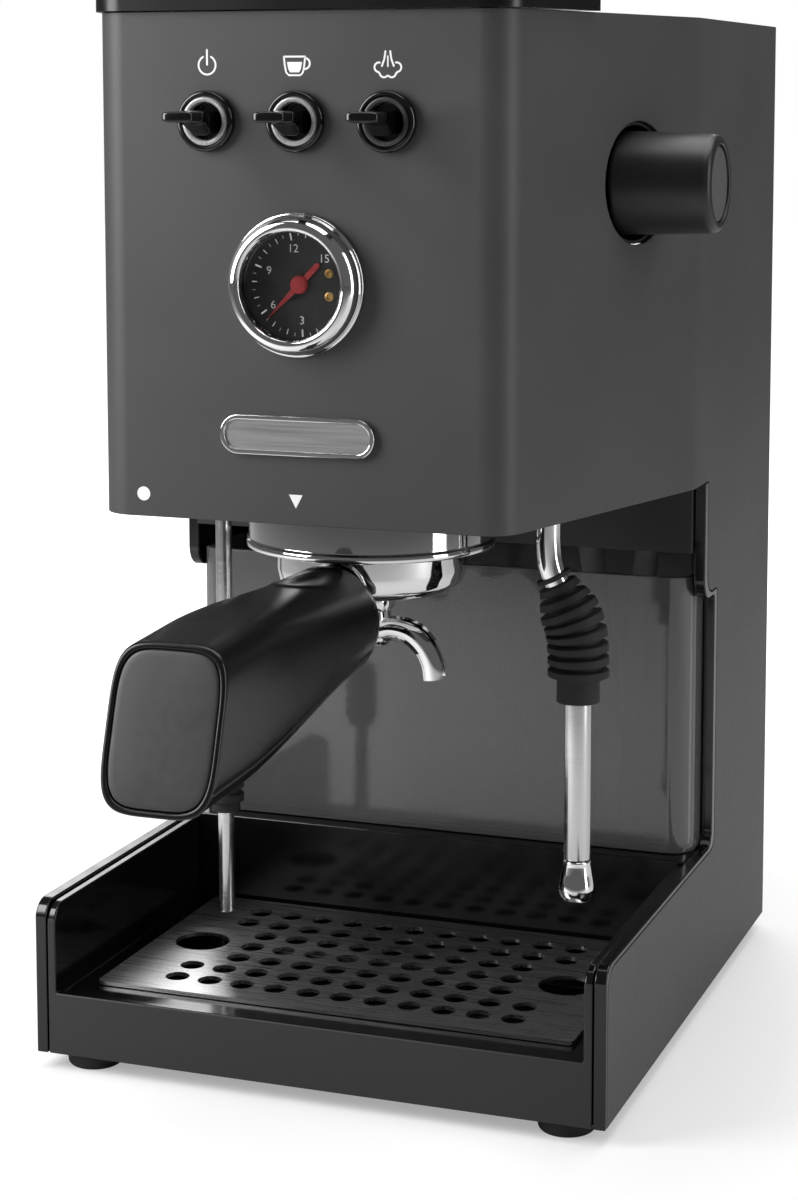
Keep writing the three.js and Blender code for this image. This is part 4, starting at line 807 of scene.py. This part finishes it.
def handle_ring(share, inset=0.0, reach=0.0, details=False):
    """One closed ring of the handle: round at the root, an upright rounded oblong at the end."""
    ease = eased(share, 0, 0.8)
    half_width = HANDLE_ROOT + (HANDLE_END[0] - HANDLE_ROOT) * ease - inset
    half_height = HANDLE_ROOT + (HANDLE_END[1] - HANDLE_ROOT) * ease - inset
    power = 1 + (HANDLE_END_POWER - 1) * ease
    ring = []
    for k, (u, v) in enumerate(squared(half_width, half_height, power, HANDLE_SIDES)):
        angle = 360 * k / HANDLE_SIDES
        if details:
            run = (share - DISH_PLACE) * HANDLE_LENGTH / DISH_HALF_LENGTH
            dish = math.hypot(u / DISH_HALF_WIDTH, run)          # 1 at the edge of the thumb dish
            if v > 0 and dish < 1.35:
                v -= DISH_DEPTH * (1 - eased(dish, 0.2, 0.97))
                v += DISH_RIM * math.exp(-((dish - 1.04) / 0.1) ** 2)
            beside = abs(k - SEAM)
            depth = SEAM_DEPTH[beside] * eased(share, 0.06, 0.1) if beside < 2 else 0
            u, v = u - depth * math.cos(math.radians(angle)), v - depth * math.sin(math.radians(angle))
        ahead = HANDLE_LENGTH * share + reach - HANDLE_TILT * share * v
        ring.append(handle_root + Vector((u, -ahead, v - HANDLE_DROP * share)) * MM)
    return ring


def make_handle():
    rings = [handle_ring(0, HANDLE_ROOT - radius, ahead) for radius, ahead in (
        (3, 0.0), (7.5, 0.1), (11, 0.4), (13.8, 1.1), (16, 2.3), (17.5, 3.9), (18.4, 6))]
    start, end, steps = 0.062, 0.982, 130
    rings += [handle_ring(start + (end - start) * k / steps, details=True) for k in range(steps + 1)]
    rings += [handle_ring(1, inset, ahead) for inset, ahead in
              ((0.0, -1.0), (0.2, -0.4), (0.5, -0.1), (0.8, 0.0), (1.3, 0.0), (1.6, -0.1), (1.8, -0.3),
               (CAP_SEAT, -0.6), (CAP_SEAT, -CAP_DEPTH), (8, -CAP_DEPTH))]
    piece("hand_grip", skinned(rings), grip_abs, ("portafilter_handle",), sharp=50)
    seat = CAP_SEAT + CLEARANCE
    cap = [handle_ring(1, inset, ahead) for inset, ahead in
           ((8, -1.5), (seat, -1.5), (seat, -0.8), (seat + 0.25, -0.45), (seat + 0.8, -0.28),
            (seat + 2, -0.2), (seat + 5, 0.0), (seat + 9, 0.12), (17.5, 0.18))]
    piece("grip_end_cap", skinned(cap), dark_inset, ("handle_cap",))


# ---- Toggles ------------------------------------------------------------------------------------
def make_toggles():
    stations = [(-1.4, 3.3, 3.0, -3.6), (0.5, 3.5, 3.2, -3.8), (3, 3.4, 3.4, -3.9), (5.6, 3.6, 3.6, -4.5),
                (8.4, 3.7, 3.6, -3.0), (11.6, 4.3, 3.5, -1.1), (15.5, 5.2, 3.4, -0.5), (19.5, 5.5, 3.3, -0.3),
                (23, 5.3, 3.2, -0.2)]                            # reach, half width, top, bottom
    # The power and brew rings take the pale painted glow; the steam ring stays dark.
    for kind, ring_finish in (("power", painted_glow_ring), ("brew", painted_glow_ring), ("steam", dark_ring)):
        centre = Vector((spot(kind + "_switch").x, FACE_Y, spot(kind + "_switch").z))
        rim = turned([(6.4, -4), (6.4, 1.2), (8.1, 1.6), (8.3, 3.1), (9.3, 3.0), (9.9, 2.3), (9.9, 0.3),
                      (8, 0.3), (8, -12), (0, -12), (0, -4)], centre, FORWARD, rounding=0.5)
        piece(kind + "_bushing", rim, gloss_abs, (kind + "_switch",))
        light = turned([(6.1, 0.6), (6.1, 2.5), (6.7, 2.9), (7.5, 2.9), (8.0, 2.4), (8.0, 1.9), (6.4, 1.4),
                        (6.4, 0.6)], centre, FORWARD, rounding=0.35)
        piece(kind + "_light_ring", light, ring_finish, like=kind + "_switch")
        knots = [Vector(s[:3]) for s in stations]
        floors = [Vector((s[0], s[3], 0)) for s in stations]
        upper, lower = smooth_path(knots, 48), smooth_path(floors, 48)
        rings = []
        for i, (top, low) in enumerate(zip(upper, lower)):
            half, mid = (top.z - low.y) / 2, (top.z + low.y) / 2
            power = 0.85 - 0.45 * eased(i / 48, 0.1, 0.55)
            rings.append([centre + Vector((u, -top.x, mid + v)) * MM for u, v in
                          squared(top.y, half, power, 48)])
        tip = rings[-1]
        heart = sum(tip, Vector()) / len(tip)
        for shrink, ahead in ((0.96, 0.5), (0.86, 0.85), (0.7, 1.0)):
            rings.append([heart + (p - heart) * shrink + FORWARD * ahead * MM for p in tip])
        piece(kind + "_lever", skinned(rings), gloss_abs, (kind + "_paddle",), sharp=60)


# ---- Gauge --------------------------------------------------------------------------------------
UNIT_TURN, ZERO_TURN = -18.9, 329                                # degrees, seen from the front


def make_gauge():
    bezel = turned([(17.5, 4.4), (17.5, 7.2), (18.3, 7.9), (19.2, 8.0), (20.6, 7.5), (21.8, 6.0), (22.4, 4.0),
                    (22.5, 2.2), (23.4, 1.9), (23.4, 0.3), (19.3, 0.3), (19.3, 4.4)],
                   GAUGE, FORWARD, steps=128, rounding=0.5)
    piece("gauge_surround", bezel, chrome, ("gauge_bezel",))
    glass = turned([(0, 3.0), (18.6, 3.0), (18.9, 3.2), (18.9, 4.0), (18.2, 4.2), (0, 4.6)], GAUGE, FORWARD)
    piece("gauge_crystal", glass, lens_glass, ("gauge_lens",))
    dial_front, thick = spot("gauge_dial", y=0), tall("gauge_dial", 1)
    plate = turned([(0, 0), (19.3, 0), (19.3, thick), (0, thick)], spot("gauge_dial", y=1), FORWARD,
                   rounding=0.1)
    piece("dial_plate", plate, dial_enamel, ("gauge_dial",))
    printed = []
    for count, step, inner, length, width in ((33, 0.5, 15.6, 1.1, 0.2), (17, 1, 14.9, 1.8, 0.3),
                                              (6, 3, 14.3, 2.4, 0.55)):
        printed.append(from_tree(MARK_TREE, {
            "Count": count, "First Angle": math.radians(ZERO_TURN), "Step": math.radians(UNIT_TURN * step),
            "Inner": inner * MM, "Length": length * MM, "Width": width * MM, "Height": 0.06 * MM,
            "Material": white_ink_painted_glow}))
    for number in (3, 6, 9, 12, 15):
        words = bpy.data.curves.new("number", "FONT")
        words.body, words.size, words.extrude = str(number), 3.7 * MM, 0.03 * MM
        words.align_x, words.align_y = "CENTER", "CENTER"
        mesh = evaluated(new_object("number", words))
        turn = math.radians(ZERO_TURN + UNIT_TURN * number)
        mesh.transform(Matrix.Translation(Vector((math.cos(turn), math.sin(turn), 0)) * 11.6 * MM))
        mesh.materials.clear()
        printed.append(mesh)
    ink = joined(*printed)
    ink.materials.append(white_ink_painted_glow)
    for face in ink.polygons:
        face.material_index = 0
    piece("dial_scale", facing_forward(ink, dial_front), white_ink_painted_glow, like="gauge_dial", shaded=False)
    screws = [turned([(0, 0), (1.5, 0), (1.5, 0.2), (1.15, 0.42), (0.4, 0.42), (0.3, 0.2), (0, 0.2)],
                     dial_front + Vector((9.8, 0, z)) * MM, FORWARD, 32, 0.1)
              for z in (3.7, -3.7)]
    piece("dial_screws", joined(*screws), brass, like="gauge_dial")
    back = Vector((GAUGE.x, spot("gauge_needle", y=1).y, GAUGE.z))
    blade = [(15.8, 0.2), (2.6, 1.0), (-2.6, 0.95), (-8.6, 0.95), (-9.3, 0.65), (-9.6, 0)]
    outline = blade + [(x, -y) for x, y in reversed(blade[:-1])]
    pointer = stamped([outline], 0.5, 0.12)
    pointer.transform(Matrix.Rotation(math.radians(225), 4, "Z"))
    facing_forward(pointer, back)
    hub = turned([(0, 0), (3, 0), (3, 0.9), (2.6, 1.4), (0, 1.5)], back, FORWARD, rounding=0.3)
    piece("red_pointer", joined(pointer, hub), needle_lacquer, ("gauge_needle",))


# ---- Badge and printed marks --------------------------------------------------------------------
def rounded_outline(half_width, half_height, radius, steps=10):
    outline = []
    for quarter, (x, y) in enumerate(((1, 1), (-1, 1), (-1, -1), (1, -1))):
        for k in range(steps + 1):
            a = math.radians(90 * quarter + 90 * k / steps)
            outline.append((x * (half_width - radius) + radius * math.cos(a),
                            y * (half_height - radius) + radius * math.sin(a)))
    return outline


def stroke(points, width):
    """The outline of a line of even width, as a pen would draw it, with round ends."""
    line = [Vector(p) for p in points]
    normals = []
    for i in range(len(line)):
        along = (line[min(i + 1, len(line) - 1)] - line[max(i - 1, 0)]).normalized()
        normals.append(Vector((-along.y, along.x)))
    half = width / 2
    left = [p + n * half for p, n in zip(line, normals)]
    right = [p - n * half for p, n in zip(line, normals)]
    end = [line[-1] + Matrix.Rotation(math.radians(a), 2) @ (normals[-1] * half) for a in (-45, -90, -135)]
    start = [line[0] + Matrix.Rotation(math.radians(a), 2) @ (normals[0] * half) for a in (135, 90, 45)]
    return [tuple(p) for p in left + end + right[::-1] + start]


def arc(x, y, radius, start, end, steps=32):
    turns = [math.radians(start + (end - start) * k / steps) for k in range(steps + 1)]
    return [(x + radius * math.cos(a), y + radius * math.sin(a)) for a in turns]


def make_badge():
    half_width, half_height = tall("front_badge", 0) / 2, tall("front_badge") / 2
    centre = spot("front_badge", y=1)
    rim = stamped([rounded_outline(half_width, half_height, half_height - 0.1),
                   rounded_outline(half_width - 1.6, half_height - 1.6, half_height - 1.7)[::-1]], 1.8, 0.35)
    field = stamped([rounded_outline(half_width - 1.3, half_height - 1.3, half_height - 1.4)], 1.0, 0.1)
    piece("badge_frame", facing_forward(rim, centre), chrome, ("front_badge",))
    piece("badge_field", facing_forward(field, centre), brushed_sheet, like="front_badge")


def make_marks():
    """Simple line symbols over the toggles and two index marks, screen-printed in white ink that carries a
    faint painted glow.
    """
    width = 0.62
    power = [stroke(arc(0, 0, 3.0, 118, 422, 40), width), stroke([(0, 0.2), (0, 4.9)], width)]
    bowl = [(-4.3, 2.6), (-3.9, -0.6), (-3.5, -2.4), (-2.6, -3.3), (1.4, -3.3), (2.3, -2.4), (2.7, -0.6),
            (3.1, 2.6)]
    fill = [(-3.2, 0.9), (-2.8, -1.3), (-2.2, -2.4), (1.0, -2.4), (1.6, -1.3), (2.0, 0.9)]
    cup = [stroke(bowl, width), stroke([(-4.3, 2.6), (3.1, 2.6)], width), fill,
           stroke(arc(2.9, 0.4, 1.75, 78, -94, 18), width)]
    cloud = (arc(-3.0, -0.9, 1.5, 80, 262, 14) + arc(-1.3, -2.6, 1.45, 190, 318, 12)
             + arc(1.3, -2.6, 1.45, 222, 350, 12) + arc(3.0, -0.9, 1.5, -82, 100, 14))
    steam = [stroke(cloud, width), stroke([(-0.8, 4.1), (-1.2, 1.6), (-2.0, -0.5)], width),
             stroke([(0, 2.6), (0, -0.6)], width * 0.8), stroke([(0.8, 4.1), (1.2, 1.6), (2.0, -0.5)], width)]
    dot = [arc(0, 0, 2.35, 0, 360, 40)[:-1]]
    index = [[(-2.4, 2.2), (2.4, 2.2), (0, -2.3)]]
    above = spot("power_switch").z + 18 * MM
    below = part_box("head_floor")[0].z
    signs = (("power_sign", power, spot("power_switch").x, above),
             ("brew_sign", cup, spot("brew_switch").x, above),
             ("steam_sign", steam, spot("steam_switch").x, above),
             ("locked_dot", dot, GROUP.x - 55.7 * MM, below + 7.3 * MM),
             ("index_arrow", index, GROUP.x - 1 * MM, below + 7.5 * MM))
    for name, outlines, x, z in signs:
        print_mesh = joined(*[stamped([line], 0.08) for line in outlines])
        print_mesh.materials.clear()
        piece(name, facing_forward(print_mesh, Vector((x, FACE_Y, z)) + LAYER), white_ink_painted_glow, like="body_shell",
              shaded=False)


# ---- Steam knob and wand ------------------------------------------------------------------------
def make_knob():
    base, length = spot("steam_knob", x=0), tall("steam_knob", 0)
    body = turned([(0, 4), (3.9, 4), (3.9, 0), (16.9, 0), (17.6, 1), (16.6, length - 2.4),
                   (15.9, length - 0.7), (14.6, length), (13.5, length), (13.1, length - 0.4),
                   (13.1, length - 2), (0, length - 2)], base, Vector((1, 0, 0)), rounding=0.8)
    piece("steam_dial", body, satin_abs, ("steam_knob",))
    disc = turned([(0, length - 1.9), (12.8, length - 1.9), (12.8, length - 1.2), (12.2, length - 0.8),
                   (0, length - 0.6)], base, Vector((1, 0, 0)), rounding=0.3)
    piece("steam_dial_disc", disc, grey_inset, like="steam_knob")


def make_knob_well():
    """A dark sleeve inside the knob's hole, put there as painted shade for the unlit inside, cut to follow
    the slope of the flared side.
    """
    axis = spot("steam_knob", x=0)
    back, wall, bore, slope, steps = -3.7, (20.6, 19.5), 4.6, 0.275, 72
    vertices = []
    for i in range(steps):
        across, up = math.cos(2 * math.pi * i / steps), math.sin(2 * math.pi * i / steps)
        rim = 4.6 + slope * wall[0] * across
        section = ((bore, back), (wall[0], back), (wall[0], rim), (wall[1], rim), (wall[1], back + 1),
                   (bore, back + 1))
        vertices += [axis + Vector((x, radius * across, radius * up)) * MM for radius, x in section]
    well = mesh_from(vertices, band_faces(steps, len(section), True))
    piece("knob_well", well, satin_abs, like="body_shell")


def make_wand():
    ball = spot("wand_ball")
    down = lambda points: [ball + Vector(p) * MM for p in points]
    half_circle = [(6 * math.sin(math.radians(a)), 6 * math.cos(math.radians(a))) for a in range(0, 181, 9)]
    piece("swivel_ball", turned(half_circle, ball, rounding=0.0), chrome, ("wand_ball",))
    nut_base = Vector((ball.x, ball.y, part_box("wand_nut")[0].z))
    high = tall("wand_nut")
    nut = turned([(6.7, 0), (9.0, 0), (9.6, 0.7), (9.6, 4), (9.1, 4.5), (9.6, 5), (9.6, high), (2, high),
                  (2, high - 3.3), (6.9, high - 4.4)], nut_base, rounding=0.3)
    piece("swivel_nut", nut, chrome, ("wand_nut",))
    elbow = [(5.2, 1.6, -35.5), (9, 2.6, -45.5), (10, 3, -55.5)]
    bend = down([(0, 0, -4.4), (0, 0, -17), (1.2, 0.4, -25.5), *elbow, (10, 3, -62.2)])
    piece("steam_pipe", swept(smooth_path(bend, 72), lambda share: circle(4.3, 40)), chrome, ("wand_tube",))
    route = smooth_path(down([(1.7, 0.55, -27.5), *elbow, (10, 3, -71.1)]), 60)
    length = sum((b - a).length for a, b in zip(route, route[1:]))
    sleeve = from_tree(SLEEVE_TREE, {
        "Neck": 6.2 * MM, "Body": 10.6 * MM, "Tail": 7.4 * MM, "Neck Length": 15 * MM,
        "Tail Start": length - 8.4 * MM, "Rib Pitch": 4.4 * MM, "Groove": 2.6 * MM, "Material": rubber},
        curve_through(route))
    piece("ribbed_grip", sleeve, rubber, ("wand_grip",), sharp=50)
    rod = spot("wand_sleeve", z=0)
    length = tall("wand_sleeve")
    piece("steel_rod", turned([(3.2, 0), (4.6, 0), (4.6, length), (3.2, length)], rod), ground_tube,
          ("wand_sleeve",))
    tip = Vector((rod.x, rod.y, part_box("wand_tip")[0].z))
    profile = [(0, 1.2), (1.1, 0.9), (1.3, 0.1), (3.0, 0.1), (4.7, 0.9), (5.9, 2.6), (6.25, 4.6),
               (6.0, 6.4), (5.3, 10), (4.8, 13.4), (4.8, 14.6), (4.4, 15), (0, 15)]
    piece("steam_nozzle", turned(profile, tip, rounding=0.5), chrome, ("wand_tip",))


# ---- Drain line ---------------------------------------------------------------------------------
def make_drain():
    for name, node in (("drain_tube", "drain_pipe"), ("drain_outlet", "drain_spout")):
        wall = [(2.0, 0), (2.9, 0), (2.9, tall(node)), (2.0, tall(node))]
        piece(name, turned(wall, spot(node, z=0), steps=48), ground_tube, (node,))
    top, foot = spot("drain_coupling", z=1), spot("drain_coupling", z=0)
    sleeve = from_tree(SLEEVE_TREE, {
        "Neck": 4.6 * MM, "Body": 6.6 * MM, "Tail": 5.2 * MM, "Neck Length": 2.0 * MM,
        "Tail Start": top.z - foot.z - 3.4 * MM, "Rib Pitch": 5.0 * MM, "Groove": 1.5 * MM,
        "Material": rubber}, curve_through([top, foot]))
    piece("drain_sleeve", sleeve, rubber, ("drain_coupling",), sharp=50)


# ---- Hoses, feet, screws, inlet pins ------------------------------------------------------------
def make_hoses():
    for node in ("suction_hose", "return_hose"):
        low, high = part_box(node)
        radius = (high.y - low.y) / 2
        lean = 1 if node == "suction_hose" else -1
        start, end = (low.x + radius, high.x - radius)[::lean]
        run = high.z - low.z
        y = (low.y + high.y) / 2
        path = smooth_path([Vector((start, y, high.z)), Vector((start, y, high.z - 20 * MM)),
                            Vector((start + (end - start) * 0.3, y, high.z - 38 * MM)),
                            Vector((end, y, low.z + run * 0.3)), Vector((end, y, low.z))], 48)
        hose = swept(path, lambda share: circle(radius / MM, 28))
        piece(node.replace("hose", "tube"), hose, milky_silicone, (node,))


def make_feet():
    for node in (n for n in frame["nodes"] if n.startswith("foot_")):
        height, outside = tall(node), tall(node, 0) / 2
        profile = [(0, 0.8), (4, 0.8), (4.6, 0), (outside - 1.2, 0), (outside - 0.4, 1),
                   (outside, height - 1), (outside, height), (0, height)]
        foot = turned(profile, spot(node, z=0), steps=64, rounding=0.5)
        piece(node.replace("foot", "rubber_foot"), foot, rubber, (node,))


def screw_head():
    """A pan head with a crossed recess, standing on the XY plane."""
    pan = turned([(0, 0), (3.2, 0), (3.2, 0.6), (2.5, 1.5), (1.2, 1.9), (0, 2.0)], Vector(), steps=40)
    head = new_object("head", pan)
    cross = new_object("cross", joined(*[
        skinned([[Vector((x * w, y * d, z)) * MM for x, y in ((-1, -1), (1, -1), (1, 1), (-1, 1))]
                 for z in (0.9, 2.5)]) for w, d in ((1.5, 0.36), (0.359, 1.5))]))
    recess = head.modifiers.new("recess", "BOOLEAN")
    recess.operation, recess.object, recess.solver, recess.use_self = "DIFFERENCE", cross, "EXACT", True
    cut = new_object("cut_head", evaluated(head))
    bpy.data.objects.remove(cross)
    return cut


def make_screws():
    head = screw_head()
    low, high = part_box("back_panel")
    rows = {
        "back_screws": ("back_panel", (math.radians(-90), 0, 0), [
            (x, high.y - 0.05 * MM, z) for x in (low.x + 7 * MM, high.x - 7 * MM)
            for z in (low.z + 12 * MM, low.z + (high.z - low.z) * 0.5, high.z - 12 * MM)]),
        "base_screws": ("base_plate", (math.radians(180), 0, 0), [
            (side * 60 * MM + GROUP.x, y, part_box("base_plate")[0].z + 0.05 * MM)
            for side in (-1, 1) for y in (GROUP.y, GROUP.y + 120 * MM)])}
    for name, (node, turn, places) in rows.items():
        points = bpy.data.meshes.new("places")
        points.from_pydata(places, [], [])
        mesh = from_tree(SET_TREE, {"Part": head, "Turn": turn, "Material": ground_tube}, points)
        piece(name, mesh, ground_tube, like=node)
    bpy.data.objects.remove(head)


def make_inlet_pins():
    low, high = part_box("power_inlet")
    centre = (low + high) / 2
    pins = []
    for x, z in ((-6.5, -1.5), (0, 2.5), (6.5, -1.5)):
        heart = Vector((centre.x, high.y - 14 * MM, centre.z)) + Vector((x, 0, z)) * MM
        section = squared(1, 2, 0.4, 24)
        pins.append(skinned([[heart + Vector((u * shrink, y, v * shrink)) * MM for u, v in section]
                             for y, shrink in ((-0.5, 1), (8.4, 1), (9.3, 0.85), (9.6, 0.6))]))
    piece("inlet_blades", joined(*pins), tinned, like="power_inlet")


for make in (set_camera, set_studio, make_housing, dress_inner_parts, make_grille, make_collar,
             make_portafilter, make_spout, make_handle, make_toggles, make_gauge, make_badge, make_marks,
             make_knob, make_knob_well, make_wand, make_drain, make_hoses, make_feet, make_screws,
             make_inlet_pins):
    make()
